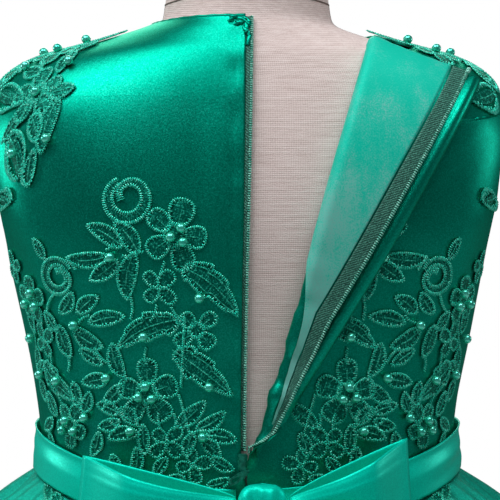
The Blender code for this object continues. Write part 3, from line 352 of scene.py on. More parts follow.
class Chart:
    """The back or the front laid out flat: how far across from the middle, and height.

    Across is the length along the figure, or the plain x as seen from behind.
    """

    LOWEST, HIGHEST, UP = 690.0, 992.0, 3.0
    WIDEST, ACROSS = 190.0, 2.0

    def __init__(self, centre, by_length, relief):
        self.relief = relief
        self.levels = np.arange(self.LOWEST, self.HIGHEST, self.UP)
        self.steps = np.arange(0.0, self.WIDEST, self.ACROSS)
        rows = np.linspace(1.5, ROW["neck"], 300)
        turns = np.linspace(centre, -centre * 0.2 if by_length else SIDE, 140)
        turn, row = np.meshgrid(turns, rows, indexing="ij")
        heights = skin(turn, row)[..., 2]
        found = []
        for level in self.levels:
            on_row = np.array([np.interp(level, column, rows) for column in heights])
            points = skin(turns, on_row)
            across = lengths(points[:, :2]) if by_length else points[:, 0]
            found.append([np.interp(self.steps, across, v) for v in (turns, on_row, points[:, 0])])
        self.turn, self.row, self.x = np.moveaxis(np.array(found), 1, 0)

    def find(self, across, z):
        """Turn and row at a distance across and a height."""
        i, j = (z - self.LOWEST) / self.UP, np.abs(across) / self.ACROSS
        return between(self.turn, i, j), between(self.row, i, j)

    def along(self, x, z):
        """How far along its level a point is that is seen at distance x from the middle."""
        nearest = int(np.clip(round((z - self.LOWEST) / self.UP), 0, len(self.levels) - 1))
        return float(np.interp(x, self.x[nearest], self.steps))

    def place(self, across, z, out):
        """Points that stand out from the form."""
        across, z, out = whole(across, z, out)
        return mirrored(figure(*self.find(across, z), out), across)

    def raised(self, seen, _):
        """How far the creases stand out at points of the form."""
        return self.relief(seen[..., 0], seen[..., 2])

    def on_cloth(self, across, z, off):
        """Points off the creased outer face of the bodice."""
        across, z, off = whole(across, z, off)
        turn, row = self.find(across, z)
        seen = mirrored(skin(turn, row), across)
        return mirrored(figure(turn, row, ease(row) + CLOTH + self.raised(seen, z) + off), across)


class OverShoulder(Chart):
    """A shoulder laid out flat: x from the middle, and the length p from the seam at that x."""

    NEAREST, FARTHEST = 60.0, 131.0
    DOWN_BACK, DOWN_FRONT = -130.0, 70.0

    def __init__(self):
        self.xs = np.arange(self.NEAREST, self.FARTHEST, self.ACROSS)
        self.steps = np.arange(self.DOWN_BACK, self.DOWN_FRONT, self.ACROSS)
        ridge = np.linspace(ROW["blade"] + 0.5, NECKLINE, 300)
        widths = skin(0 * ridge, ridge)[:, 0]
        self.turn, self.row = [], []
        for x in self.xs:
            start = np.interp(-x, -widths, ridge)
            down = start - (start - ROW["chest"]) * np.linspace(0, 1, 60) ** 2
            back, back_turns = self.side_of(x, down, BACK)
            front, front_turns = self.side_of(x, down, FRONT)
            length = np.append(-back[::-1], front[1:])
            self.turn.append(np.interp(self.steps, length, np.append(back_turns[::-1], front_turns[1:])))
            self.row.append(np.interp(self.steps, length, np.append(down[::-1], down[1:])))
        self.turn, self.row = np.array(self.turn), np.array(self.row)

    def side_of(self, x, rows, centre):
        """Lengths and turns down from the seam at one x, to the back or to the front."""
        turns = np.linspace(SIDE, centre, 200)
        widths = [skin(turns, row + 0 * turns)[:, 0] for row in rows[1:]]
        turn = [0.0] + [float(np.interp(-x, -width, turns)) for width in widths]
        return lengths(skin(turn, rows)), np.array(turn)

    def along(self, x, _):
        """A motif's place across is its plain distance from the middle here."""
        return x

    def find(self, x, p):
        """Turn and row at a distance x from the middle and a length p from the seam."""
        i, j = (np.abs(x) - self.NEAREST) / self.ACROSS, (p - self.DOWN_BACK) / self.ACROSS
        return between(self.turn, i, j), between(self.row, i, j)

    def raised(self, seen, p):
        """Only the back of a shoulder has creases."""
        return np.where(p < 0, back_relief(seen[..., 0], seen[..., 2]), 0)


# Meshes

class Batch:
    """Collects the points and faces of many forms, to make one mesh of them."""

    def __init__(self):
        self.points, self.flat, self.faces, self.slots, self.count = [], [], [], [], 0

    def put(self, points, faces, flat=None, slot=0):
        """Adds a form: its points, faces and, in millimetres, its flat texture places."""
        points = np.asarray(points, float).reshape(-1, 3)
        self.points.append(points)
        self.flat.append(np.zeros((len(points), 2)) if flat is None else np.asarray(flat).reshape(-1, 2))
        self.faces += (np.asarray(faces) + self.count).tolist()
        self.slots += [slot] * len(faces)
        self.count += len(points)

    def polygon(self, corners, slot=0):
        """Adds one face between points that are already there."""
        self.faces.append(corners)
        self.slots.append(slot)

    def make(self, name, *materials):
        """The object, with its faces turned outward and shaded smooth."""
        mesh = bpy.data.meshes.new(name)
        mesh.from_pydata(np.vstack(self.points) * MM, [], self.faces)
        for material in materials:
            mesh.materials.append(material)
        mesh.polygons.foreach_set("material_index", self.slots)
        corners = np.empty(len(mesh.loops), int)
        mesh.loops.foreach_get("vertex_index", corners)
        layer = mesh.uv_layers.new(name="flat")
        layer.data.foreach_set("uv", (np.vstack(self.flat)[corners] * MM).ravel())
        edited = bmesh.new()
        edited.from_mesh(mesh)
        bmesh.ops.recalc_face_normals(edited, faces=edited.faces)
        edited.to_mesh(mesh)
        edited.free()
        mesh.shade_smooth()
        thing = bpy.data.objects.new(name, mesh)
        bpy.context.scene.collection.objects.link(thing)
        return thing


def grid_faces(rows, columns, loop=False, first=0):
    """The quads of a grid of points, whose last column may join its first."""
    index = np.arange(rows * columns).reshape(rows, columns) + first
    beside = np.roll(index, -1, axis=1)
    if not loop:
        index, beside = index[:, :-1], beside[:, :-1]
    return np.stack([index[:-1], beside[:-1], beside[1:], index[1:]], -1).reshape(-1, 4)


def flat_of(grid):
    """Flat places of a grid of points: its mean lengths along the columns and along the rows."""
    across = np.linalg.norm(np.diff(grid, axis=1), axis=-1).mean(0)
    up = np.linalg.norm(np.diff(grid, axis=0), axis=-1).mean(1)
    u, v = np.append(0, np.cumsum(across)), np.append(0, np.cumsum(up))
    return joined(u[None, :], v[:, None])


def shell(name, outer, inner, material, loop=False):
    """A thin closed sheet between two grids of points."""
    rows, columns = outer.shape[:2]
    size = rows * columns
    batch = Batch()
    faces = [*grid_faces(rows, columns, loop), *grid_faces(rows, columns, loop, size)[:, ::-1]]
    index = np.arange(size).reshape(rows, columns)
    rims = [index[0], index[-1]] if loop else [index[0], index[-1], index[:, 0], index[:, -1]]
    for rim in rims:
        after = np.roll(rim, -1) if loop else rim[1:]
        before = rim if loop else rim[:-1]
        faces += [[a, b, b + size, a + size] for a, b in zip(before, after)]
    flat = flat_of(outer)
    batch.put(np.vstack([outer, inner]), faces, np.vstack([flat, flat]))
    return batch.make(name, material)


def normals_of(grid):
    """Normals of a grid of points."""
    return unit(np.cross(np.gradient(grid, axis=0), np.gradient(grid, axis=1)))


def thickened(name, middle, material):
    """A thin closed sheet round a grid of points."""
    half = normals_of(middle) * SHEET / 2
    return shell(name, middle + half, middle - half, material)


def sweep(batch, path, normals, half_width, half_height, sides=6, closed=False, slot=0):
    """A cord or a domed ribbon along a path, with its ends rounded off."""
    count = len(path)
    if closed:
        tangent = np.roll(path, -1, axis=0) - np.roll(path, 1, axis=0)
    else:
        tangent = np.gradient(path, axis=0)
    beside = unit(np.cross(normals, tangent))
    turns = full_turn(sides)
    wide, high = (np.broadcast_to(half, count)[:, None, None] for half in (half_width, half_height))
    rings = (
        path[:, None]
        + beside[:, None] * np.cos(turns)[None, :, None] * wide
        + normals[:, None] * np.sin(turns)[None, :, None] * high
    )
    flat = joined(turns[None, :] * 2, lengths(path)[:, None])
    faces = grid_faces(count, sides, True).tolist()
    first, last = batch.count, (count - 1) * sides
    if closed:
        faces += [[last + j, last + (j + 1) % sides, (j + 1) % sides, j] for j in range(sides)]
    batch.put(rings, faces, flat, slot)
    if not closed:
        batch.polygon([first + j for j in reversed(range(sides))], slot)
        batch.polygon([first + last + j for j in range(sides)], slot)


def ball(batch, centre, radius, slot=0):
    """A sphere of quads and triangles."""
    around, up = 14, 9
    turns = full_turn(around)
    tilts = np.linspace(-np.pi / 2, np.pi / 2, up + 1)[1:-1]
    tilts = tilts[:, None]
    points = joined(np.cos(tilts) * np.cos(turns), np.cos(tilts) * np.sin(turns), np.sin(tilts))
    points = np.vstack([points.reshape(-1, 3), [[0, 0, -1], [0, 0, 1]]])
    rows = up - 1
    faces = grid_faces(rows, around, True).tolist()
    low, high, last = rows * around, rows * around + 1, (rows - 1) * around
    batch.put(np.asarray(centre) + points * radius, faces, None, slot)
    base = batch.count - len(points)
    for j in range(around):
        k = (j + 1) % around
        batch.polygon([base + k, base + j, base + low], slot)
        batch.polygon([base + last + j, base + last + k, base + high], slot)


def capped(name, grid, flat, material):
    """A piece from closed rings of points, with both ends capped."""
    rows, around = grid.shape[:2]
    batch = Batch()
    batch.put(grid, grid_faces(rows, around, True), flat)
    batch.polygon(list(range(around))[::-1])
    batch.polygon([(rows - 1) * around + j for j in range(around)])
    return batch.make(name, material)


# Materials

class Finish:
    """A Principled material and the nodes that feed it."""

    def __init__(self, name, colour, roughness, metallic=0.0, **extra):
        self.material = bpy.data.materials.new(name)
        self.material.use_nodes = True
        self.nodes, self.links = self.material.node_tree.nodes, self.material.node_tree.links
        self.shader = self.nodes["Principled BSDF"]
        self.set(self.shader, Base_Color=colour, Roughness=roughness, Metallic=metallic, **extra)
        places = self.nodes.new("ShaderNodeTexCoord")
        self.object_place, self.flat_place = places.outputs["Object"], places.outputs["UV"]
        self.normal = None

    def set(self, node, **values):
        """Sets a node's inputs. Their names have _ for each space, and colours are opaque."""
        for key, value in values.items():
            socket = node.inputs[key.replace("_", " ")]
            socket.default_value = (*value, 1.0) if socket.type == "RGBA" else value

    def add(self, kind, **values):
        node = self.nodes.new(kind)
        self.set(node, **values)
        return node

    def noise(self, size, detail=2.0, place=None, stretch=None):
        """Noise whose features have a size in millimetres, maybe stretched along x, y and z."""
        node = self.add("ShaderNodeTexNoise", Scale=1 / (size * MM), Detail=detail)
        source = place or self.object_place
        if stretch:
            mapping = self.add("ShaderNodeMapping", Scale=stretch)
            self.links.new(source, mapping.inputs["Vector"])
            source = mapping.outputs["Vector"]
        self.links.new(source, node.inputs["Vector"])
        return node.outputs["Fac"]

    def wave(self, size, across, distortion):
        """Even threads of a width in millimetres, on the flat places."""
        values = {"Scale": math.pi / 10 / (size * MM), "Distortion": distortion}
        node = self.add("ShaderNodeTexWave", Detail=1.0, Detail_Scale=2.0, **values)
        node.bands_direction = across
        self.links.new(self.flat_place, node.inputs["Vector"])
        return node.outputs["Fac"]

    def mixed(self, kind, a, b):
        """Two values added, subtracted or multiplied, as the kind says."""
        node = self.nodes.new("ShaderNodeMath")
        node.operation = kind
        for k, value in enumerate((a, b)):
            if isinstance(value, (int, float)):
                node.inputs[k].default_value = value
            else:
                self.links.new(value, node.inputs[k])
        return node.outputs[0]

    def weighted(self, *parts):
        """The sum of values times their weights."""
        total = None
        for value, weight in parts:
            part = self.mixed("MULTIPLY", value, weight)
            total = self.mixed("ADD", total, part) if total else part
        return total

    def feed(self, socket, source, *stops):
        """Feeds a socket of the shader with colours or greys at places along a value."""
        node = self.nodes.new("ShaderNodeValToRGB")
        while len(node.color_ramp.elements) < len(stops):
            node.color_ramp.elements.new(0.5)
        for element, (place, colour) in zip(node.color_ramp.elements, stops):
            element.position = place
            element.color = (*colour, 1.0) if isinstance(colour, tuple) else (colour,) * 3 + (1.0,)
        self.links.new(source, node.inputs["Fac"])
        self.links.new(node.outputs["Color"], self.shader.inputs[socket])

    def bump(self, source, depth):
        """Relief of a depth in millimetres, on top of what is there."""
        node = self.add("ShaderNodeBump", Strength=1.0, Distance=depth * MM)
        self.links.new(source, node.inputs["Height"])
        if self.normal:
            self.links.new(self.normal, node.inputs["Normal"])
        self.normal = node.outputs["Normal"]
        self.links.new(self.normal, self.shader.inputs["Normal"])


def satin(name, dark, mid, light, metallic=0.85, roughness=0.36):
    """Satin: a coloured gloss with a fine grain of thread, dark where no lamp is mirrored in it."""
    made = Finish(name, mid, roughness, metallic, Sheen_Weight=0.04, Sheen_Roughness=0.4,
                  Sheen_Tint=light, Specular_Tint=(0.08, 0.78, 0.56), Specular_IOR_Level=0.3)
    grain = made.noise(0.7, 3.0)
    both = made.weighted((grain, 0.8), (made.noise(45.0), 0.2))
    made.feed("Base Color", both, (0.34, dark), (0.50, mid), (0.66, light))
    made.feed("Roughness", made.noise(0.9), (0.3, roughness - 0.06), (0.7, roughness + 0.08))
    made.bump(made.wave(0.42, "X", 0.6), 0.010)
    made.bump(grain, 0.045)
    return made.material


def lining_cloth():
    """The lining: smooth, mint at the top and greyer below by height: painted light and shade, for the
    overhead light falling on it.
    """
    made = Finish("lining_cloth", (0.05, 0.42, 0.32), 0.55, 0.15,
                  Sheen_Weight=0.06, Sheen_Tint=(0.5, 0.95, 0.8), Specular_Tint=(0.2, 0.9, 0.7))
    grain = made.noise(0.8, 3.0)
    height = made.nodes.new("ShaderNodeSeparateXYZ")
    made.links.new(made.object_place, height.inputs[0])
    # Painted light and shade: the colour follows height, clean mint high on the flap where the lamps fall
    # and greyer lower down.
    lowest, for_each_metre = 0.78, 6.0
    rise = made.mixed("MULTIPLY", made.mixed("SUBTRACT", height.outputs["Z"], lowest), for_each_metre)
    streak = made.noise(9.0, 4.0, None, (1.0, 1.0, 0.3))
    uneven = made.mixed("ADD", made.mixed("SUBTRACT", grain, 0.5), made.mixed("SUBTRACT", streak, 0.5))
    both = made.mixed("ADD", rise, made.mixed("MULTIPLY", uneven, 1.3))
    made.feed("Base Color", both, (0.0, (0.19, 0.56, 0.49)), (0.35, (0.17, 0.62, 0.53)),
              (0.7, (0.03, 0.62, 0.47)), (1.0, (0.0, 0.60, 0.44)))
    made.bump(grain, 0.03)
    return made.material


def woven_tape():
    """Zip tape: a ribbed weave with slanting ticks."""
    made = Finish("woven_tape", (0.02, 0.20, 0.14), 0.7)
    ticks = made.wave(0.8, "DIAGONAL", 2.0)
    ribs = made.wave(0.7, "Y", 0.3)
    both = made.weighted((ticks, 0.25), (made.noise(0.6), 0.75))
    made.feed("Base Color", both,
              (0.34, (0.0, 0.045, 0.033)), (0.5, (0.012, 0.14, 0.10)), (0.68, (0.10, 0.40, 0.30)))
    made.bump(ribs, 0.10)
    made.bump(ticks, 0.08)
    return made.material


def coil_thread():
    made = Finish("coil_thread", (0.03, 0.26, 0.18), 0.35, 0.2)
    made.feed("Base Color", made.noise(1.4, 1.0), (0.35, (0.03, 0.36, 0.26)), (0.65, (0.34, 0.85, 0.70)))
    return made.material


def enamel():
    made = Finish("slider_enamel", (0.0, 0.30, 0.205), 0.34, 0.4)
    wear = made.noise(1.6, 3.0)
    made.feed("Base Color", wear, (0.40, (0.0, 0.15, 0.10)), (0.75, (0.02, 0.38, 0.27)))
    made.feed("Roughness", made.noise(2.5), (0.3, 0.2), (0.7, 0.42))
    made.bump(wear, 0.02)
    return made.material


def lace_cord():
    """The cord under the whipping stitches, coloured darker than their thread: painted shade, for the cord
    lying half in shadow.
    """
    made = Finish("lace_cord", (0.02, 0.40, 0.29), 0.5, 0.3,
                  Sheen_Weight=0.15, Sheen_Tint=(0.2, 0.95, 0.7), Specular_Tint=(0.2, 0.9, 0.65))
    fleck = made.noise(0.9)
    made.feed("Base Color", fleck,
              (0.36, (0.0, 0.16, 0.11)), (0.52, (0.01, 0.42, 0.30)), (0.66, (0.10, 0.80, 0.60)))
    made.bump(fleck, 0.12)
    return made.material


def lace_stitch():
    """The whipping stitches: glossy light thread."""
    tint = (0.3, 0.95, 0.75)
    made = Finish("lace_stitch", (0.08, 0.85, 0.62), 0.34, 0.45,
                  Sheen_Weight=0.2, Sheen_Tint=tint, Specular_Tint=tint, Specular_IOR_Level=0.3)
    fleck = made.noise(1.1)
    made.feed("Base Color", fleck,
              (0.34, (0.0, 0.42, 0.30)), (0.52, (0.03, 0.84, 0.61)), (0.66, (0.24, 1.0, 0.80)))
    made.bump(fleck, 0.08)
    return made.material


def lace_fill():
    """The stitched fill of the petals and leaves: dark as the satin seen through it, and darker still as
    painted shade within the motifs, with sparse light threads across it.
    """
    made = Finish("lace_fill", (0.0, 0.14, 0.10), 0.5, 0.5, Specular_Tint=(0.1, 0.8, 0.55))
    hatch = made.noise(0.75, 2.0, made.flat_place, (0.25, 1.0, 1.0))
    both = made.weighted((hatch, 0.45), (made.noise(0.9, 3.0), 0.55))
    made.feed("Base Color", both,
              (0.44, (0.0, 0.10, 0.068)), (0.54, (0.0, 0.20, 0.14)), (0.61, (0.04, 0.66, 0.47)))
    made.bump(both, 0.25)
    return made.material


def pearl():
    made = Finish("pearl", (0.02, 0.66, 0.48), 0.2, 0.62,
                  Coat_Weight=0.8, Coat_Roughness=0.14, Specular_Tint=(0.5, 0.95, 0.8))
    made.feed("Base Color", made.noise(3.0), (0.3, (0.01, 0.66, 0.48)), (0.7, (0.14, 0.92, 0.70)))
    made.bump(made.noise(0.8), 0.02)
    return made.material


def net_cloth():
    """Fine net, partly see-through, with threads both ways."""
    made = Finish("net_cloth", (0.0, 0.55, 0.40), 0.38, 0.45, Alpha=0.72,
                  Sheen_Weight=0.08, Sheen_Tint=(0.3, 0.95, 0.8), Specular_Tint=(0.3, 0.95, 0.75))
    made.feed("Base Color", made.noise(0.9), (0.3, (0.0, 0.42, 0.30)), (0.7, (0.01, 0.72, 0.53)))
    for across in ("X", "Y"):
        made.bump(made.wave(0.8, across, 0.3), 0.05)
    return made.material


def linen():
    """Linen over the form: slubbed threads both ways."""
    made = Finish("linen_cover", (0.66, 0.58, 0.56), 0.9, Sheen_Weight=0.1)
    across = made.wave(1.05, "Y", 2.2)
    upright = made.wave(0.9, "X", 1.6)
    slub = made.noise(1.3, 3.0, made.flat_place, (0.10, 1.0, 1.0))
    fine = made.noise(0.6)
    threads = made.weighted((across, 0.16), (upright, 0.12), (slub, 0.45), (fine, 0.25))
    made.feed("Base Color", threads,
              (0.30, (0.60, 0.465, 0.44)), (0.50, (0.79, 0.655, 0.63)), (0.70, (0.92, 0.81, 0.785)))
    for source, depth in ((across, 0.07), (upright, 0.05), (slub, 0.10)):
        made.bump(source, depth)
    return made.material


def turned_wood():
    made = Finish("turned_wood", (0.45, 0.28, 0.15), 0.42, Coat_Weight=0.25, Coat_Roughness=0.3)
    grain = made.noise(3.0, 4.0, None, (1.0, 1.0, 0.08))
    made.feed("Base Color", grain, (0.3, (0.30, 0.17, 0.085)), (0.7, (0.58, 0.39, 0.22)))
    made.bump(grain, 0.06)
    return made.material


def painted_steel():
    made = Finish("painted_steel", (0.72, 0.72, 0.71), 0.35, Coat_Weight=0.3)
    made.feed("Roughness", made.noise(18.0, 3.0), (0.3, 0.28), (0.7, 0.45))
    made.bump(made.noise(1.3), 0.02)
    return made.material


def seam_thread():
    made = Finish("seam_thread", (0.10, 0.07, 0.06), 0.8)
    made.feed("Base Color", made.wave(1.4, "Y", 0.8),
              (0.3, (0.05, 0.035, 0.03)), (0.8, (0.30, 0.22, 0.19)))
    made.bump(made.wave(1.4, "Y", 0.8), 0.15)
    return made.material


# The bodice

def body_cloth(name, turn, row, side, relief, material):
    """A part of the bodice that lies on the form, and the grid of its outer face."""
    seen = mirrored(skin(turn, row), side)
    off = ease(row) + CLOTH + relief(seen[..., 0], seen[..., 2])
    outer, inner = (mirrored(figure(turn, row, off - deep), side) for deep in (0, SHEET))
    return shell(name, outer, inner, material), outer


def front_cloth(material):
    """The front, whose neckline is pulled down at the right shoulder."""
    rows = bodice_rows(NECKLINE)
    share = np.linspace(0, 1, 91)
    open_by = np.maximum(armhole(rows), SIDE_SEAM)
    turn = open_by[:, None] + (np.pi - 2 * open_by[:, None]) * share
    pulled = NECK_PULLED_BY * np.exp(-((turn[-1] / NECK_PULLED_OVER) ** 2))
    pulled = pulled * np.clip((rows[:, None] - ARMHOLE_TOP) / (NECKLINE - ARMHOLE_TOP), 0, 1)
    return body_cloth("front_cloth", turn, rows[:, None] - pulled, RIGHT, front_relief, material)


def left_cloth(view, material):
    """The left back, from its edge beside the zip to the side seam and armhole."""
    rows = bodice_rows(NECKLINE)
    start = []
    for row in rows:
        z = np.array(float(skin(BACK, row)[2]))
        edge = float(left_edge(z))
        start.append(BACK - np.sign(edge) * (float(view.find(abs(edge), z)[0]) - BACK))
    start = np.array(start)[:, None]
    stop = -np.maximum(armhole(rows), SIDE_SEAM)[:, None]
    turn = start + (stop - start) * np.linspace(0, 1, 76) ** 1.1
    row = rows[:, None] + 0 * turn
    return body_cloth("back_left_cloth", turn, row, LEFT, back_relief, material)


class Fold:
    """The turned-out flap of the right back."""

    def __init__(self, view):
        self.view = view
        top = NECKLINE - NECK_PULLED_BY
        self.side_rows = bodice_rows(top)
        self.rows = self.side_rows - (top - FLAP_TOP_ROW) * blend(ARMHOLE_LOW, top, self.side_rows)

    def fold_x(self, z):
        """Where the fold lies at a height."""
        t = (z - FOLD_LOW[1]) / (FOLD_TOP[1] - FOLD_LOW[1])
        return FOLD_LOW[0] + (FOLD_TOP[0] - FOLD_LOW[0]) * np.maximum(t, 0)

    def start(self, row):
        """x, z and turn of the fold on a row of the figure."""
        turns = np.linspace(BACK, SIDE, 200)
        x, _, z = skin(turns, row + 0 * turns).T
        turn = float(np.interp(0, x - self.fold_x(z), turns))
        x, _, z = skin(turn, row)
        return float(x), float(z), turn

    def shape(self, z):
        """Fold angle, flap length past the bend, and how far the flap leans down, at a fold height."""
        angle = math.pi * float(blend(*FOLD_TURNS_Z, z))
        z = max(z, FOLD_LOW[1])
        t = (z - FOLD_LOW[1]) / (FOLD_TOP[1] - FOLD_LOW[1])
        edge_x = FOLD_LOW[0] + 1 + (FLAP_TOP[0] - FOLD_LOW[0] - 1) * t
        edge_z = FOLD_LOW[1] + (FLAP_TOP[1] - FOLD_LOW[1]) * t
        across, up = edge_x - self.fold_x(z), edge_z - z
        lean = math.atan2(up, max(across, 1e-6)) * float(blend(*FLAP_LEANS_Z, z))
        return angle, max(math.hypot(across, up), SHORTEST_FLAP - angle), lean

    def place(self, row, from_edge, off):
        """Points of the turned cloth on a row, from_edge along it from the free edge."""
        from_edge = np.asarray(from_edge, float)
        x0, z0, _ = self.start(row)
        angle, length, lean = self.shape(z0)
        past = length - from_edge
        phi = np.where(past >= 0, angle, np.maximum(angle + past / FOLD_RADIUS, 0))
        over = np.maximum(past, 0)
        across = -FOLD_RADIUS * np.sin(phi) - np.cos(phi) * over
        above = FOLD_RADIUS * (1 - np.cos(phi)) + np.sin(phi) * over
        across += np.maximum(from_edge - length - FOLD_RADIUS * angle, 0)
        above += FLAP_LIFT * (over / max(length, 30)) ** 2
        across += off * np.sin(phi)
        above += off * np.cos(phi)
        x, z = x0 + across * math.cos(lean), z0 + across * math.sin(lean)
        return self.view.place(x, z, FOLD_BASE + above)

    def strip(self, low_z, picked, middle, half):
        """Both faces of a strip off the flap above a height; picked gives its distances from the edge."""
        faces = []
        for side in (half, -half):
            grid = []
            for row in self.rows:
                _, z, _ = self.start(row)
                if z > low_z:
                    angle, length, _ = self.shape(z)
                    steps = picked(length, FOLD_RADIUS * angle)
                    grid.append(self.place(row, steps, middle + side + flap_relief(z, steps, length)))
            faces.append(np.array(grid))
        return faces


def flap_relief(z, steps, length):
    """Soft hollows across the flap, and ripples at its fold that grow towards the waist."""
    near_fold = np.exp(-(((length - steps) / 7.0) ** 2))
    low = 1 - blend(*RIPPLES_Z, z)
    ripple = (0.10 + 1.7 * low) * (np.sin(z / 3.9 + 2.0 * np.sin(z / 23)) + 0.6 * np.sin(z / 2.1 + 1.0))
    middle = 0.9 * np.sin(z / 31 + steps / 26) * blend(0, 18, steps)
    return (0.6 + 0.35 * low) * near_fold * ripple * blend(*RIPPLES_END_Z, z) + 0.4 * middle


def edge_roll(steps):
    """The rolled seam at the flap's free edge, with a sunken line between it and the zip's tape."""
    sunken = 1.3 * bump_at(steps, TEETH_FROM_EDGE - 1.8, 1.3) + 0.22 * np.maximum(3.4 - steps, 0) ** 2
    return sunken - 0.5 * bump_at(steps, 4.6, 1.6)


def right_cloth(fold, material):
    """The right back: flap, bend and the part that stays on the body."""
    outer, inner = [], []
    for row, side_row in zip(fold.rows, fold.side_rows):
        _, z, turn0 = fold.start(row)
        angle, length, _ = fold.shape(z)
        bend = FOLD_RADIUS * max(angle, LEAST_BEND)
        steps = np.append(np.linspace(0, length, FLAP_COLUMNS), length + np.linspace(0, bend, 12)[1:])
        stop = -max(float(armhole(side_row)), SIDE_SEAM)
        share = np.linspace(0, 1, 52)[1:]
        turns = turn0 + (stop - turn0) * share
        rows = row + (side_row - row) * share**1.5
        middle = FOLD_BASE + (ease(rows) + CLOTH - SHEET / 2 - FOLD_BASE) * blend(0, 0.45, share)
        seen = skin(turns, rows)
        middle = middle + back_relief(seen[..., 0], seen[..., 2]) * blend(0, 0.12, share)
        relief = flap_relief(z, steps, length) + edge_roll(steps) * blend(*EDGE_ROLL_Z, z)
        for grid, off in ((outer, SHEET / 2), (inner, -SHEET / 2)):
            turned = fold.place(row, steps, off + relief)
            grid.append(np.vstack([turned, figure(turns, rows, middle + off)]))
    outer = np.array(outer)
    return shell("back_right_cloth", outer, np.array(inner), material), outer


def narrowed(length):
    """What is left of the zip's width where the flap is short."""
    return min(1, length / (TEETH_FROM_EDGE + TAPE_SHOWS + 6))


def lining_on_flap(fold, material):
    """The lining on the flap, from the zip tape round the fold."""

    def picked(length, bent):
        start = (TEETH_FROM_EDGE + TAPE_SHOWS + 3 * GAP) * narrowed(length)
        wide = float(blend(18, 36, length))
        stop = max(length + 0.6 - 1.8 * (1 - wide), start + 0.5)
        round_fold = np.linspace(0, bent * 0.8 * wide + 0.4, 12)[1:]
        return np.append(np.linspace(start, stop, 26), stop + round_fold)

    near, far = fold.strip(LINING_LOW_Z, picked, -(CLOTH / 2 + GAP + LINING / 2), 0.25)
    return shell("flap_lining", near, far, material)


def flap_tape(fold, tape_material, coil_material):
    """The zip tape on the flap and its coil, which stands along the tape's outer edge."""

    def picked(length, _):
        return np.linspace(TEETH_FROM_EDGE - 0.6, TEETH_FROM_EDGE + TAPE_SHOWS, 8) * narrowed(length)

    near, low = fold.strip(TAPE_LOW_Z, picked, -(CLOTH / 2 + GAP + TAPE / 2), 0.35)
    tape = shell("flap_zip_tape", near, low, tape_material)
    up = unit(low - near)
    coil = Batch()
    line, side = low[:, 0] + up[:, 0] * 0.55, unit(low[:, 1] - low[:, 0])
    teeth(coil, line, side, up[:, 0])
    for back, radius in ((0.0, 1.3), (1.6, 1.1)):
        ball(coil, line[-1] - unit(line[-1] - line[-2]) * back + up[-1, 0] * 0.5, radius)
    return tape, coil.make("flap_zip_coil", coil_material)


def teeth(batch, line, across, out):
    """The loops of a zip coil along a line: short rounded bars across it, all slanting one way."""
    length, pitch, thick = 1.8, 1.25, 0.42
    reach = np.linspace(-0.35, 0.65, 5)[:, None]
    arch = np.array([0.0, 0.28, 0.34, 0.28, 0.0])[:, None]
    size = thick * np.array([0.6, 1.0, 1.0, 1.0, 0.6])
    along = lengths(line)
    for at in np.arange(pitch / 2, along[-1], pitch):
        middle, side, up = (sampled(field, along, at) for field in (line, across, out))
        path = middle + reach * length * side + reach * 0.45 * np.cross(side, up) + arch * up
        sweep(batch, path, np.tile(up, (5, 1)), size, size, 5)


def left_tape(view, tape_material, coil_material):
    """The tape and coil beside the left back's edge."""
    levels = np.linspace(ZIP_BOTTOM + 5, ZIP_TOP - 2.5, 90)
    _, row = view.find(0 * levels, levels)
    edge = left_edge(levels) + GAP
    width = 1.8 + 1.6 * blend(ZIP_BOTTOM, ZIP_TOP, levels)
    across = edge[:, None] + width[:, None] * np.linspace(-0.1, 1, 6)
    off = (ease(row) + 0.2)[:, None] + 0 * across
    z = levels[:, None] + 0 * across
    outer, inner = view.place(across, z, off + 0.7), view.place(across, z, off)
    tape = shell("left_zip_tape", outer, inner, tape_material)
    up = unit(outer - inner)
    coil = Batch()
    line = outer[:, -2] + up[:, -2] * 0.5
    teeth(coil, line, unit(outer[:, -1] - outer[:, 0]), up[:, -2])
    return tape, coil.make("left_zip_coil", coil_material)


def rolled_edge(name, grid, first, material):
    """The turned edge along a cloth's top from its first column: a thin, unevenly puckered roll."""
    radius = 0.75
    line, normals = grid[-1, first:], normals_of(grid)[-1, first:]
    inside = [0, 0, 900]
    outward = (normals * (line - inside)).sum(-1).mean()
    normals = normals * np.sign(outward)
    batch = Batch()
    along = lengths(line)
    at = np.linspace(0, along[-1], int(along[-1] / 1.6))
    path, up = sampled(line, along, at), unit(sampled(normals, along, at))
    pucker = 1 + 0.16 * np.sin(at / 1.35 + 1.2 * np.sin(at / 11))
    sweep(batch, path - up * 0.25, up, radius * pucker, radius * 0.8 * pucker, 8)
    return batch.make(name, material)


def crumpled_corner(view, material):
    """The rolled and crumpled seam and tape at the top of the left back's edge."""
    start_x, reach, top_z, apart = -8.5, 9.0, 962.0, 0.9
    batch = Batch()
    t = np.linspace(0, 1, 70)
    for strand in range(4):
        across = start_x + reach * np.minimum(1.6 * t, 1) + 0.8 * np.sin(10 * t + 2 * strand)
        hangs = (7.0 + 4.0 * strand) * np.maximum(t - 0.45, 0)
        z = top_z - apart * strand - hangs + 0.7 * np.sin(14 * t + 3 * strand)
        off = 2.7 + 0.6 * np.sin(12 * t + 1.7 * strand)
        middle, above = view.place(across, z, off), view.place(across, z, off + 1)
        thick = 0.95 + 0.4 * np.sin(19 * t + strand)
        sweep(batch, middle, unit(above - middle), thick, thick * 0.8, 8)
    return batch.make("left_back_corner", material)


# The sash and bow

def band(turns, top_z, low_z, out, rows):
    """Points of a band round the waist between two heights, standing out from the form."""
    view_rows = np.linspace(1, ROW["rib"], 120)
    points = []
    for turn in turns:
        heights = skin(turn, view_rows)[:, 2]
        z = np.linspace(round_z(turn, *low_z), round_z(turn, *top_z), rows)
        row = np.interp(z, heights, view_rows)
        points.append(figure(turn, row, out(turn, np.linspace(0, 1, rows))))
    return np.swapaxes(np.array(points), 0, 1)


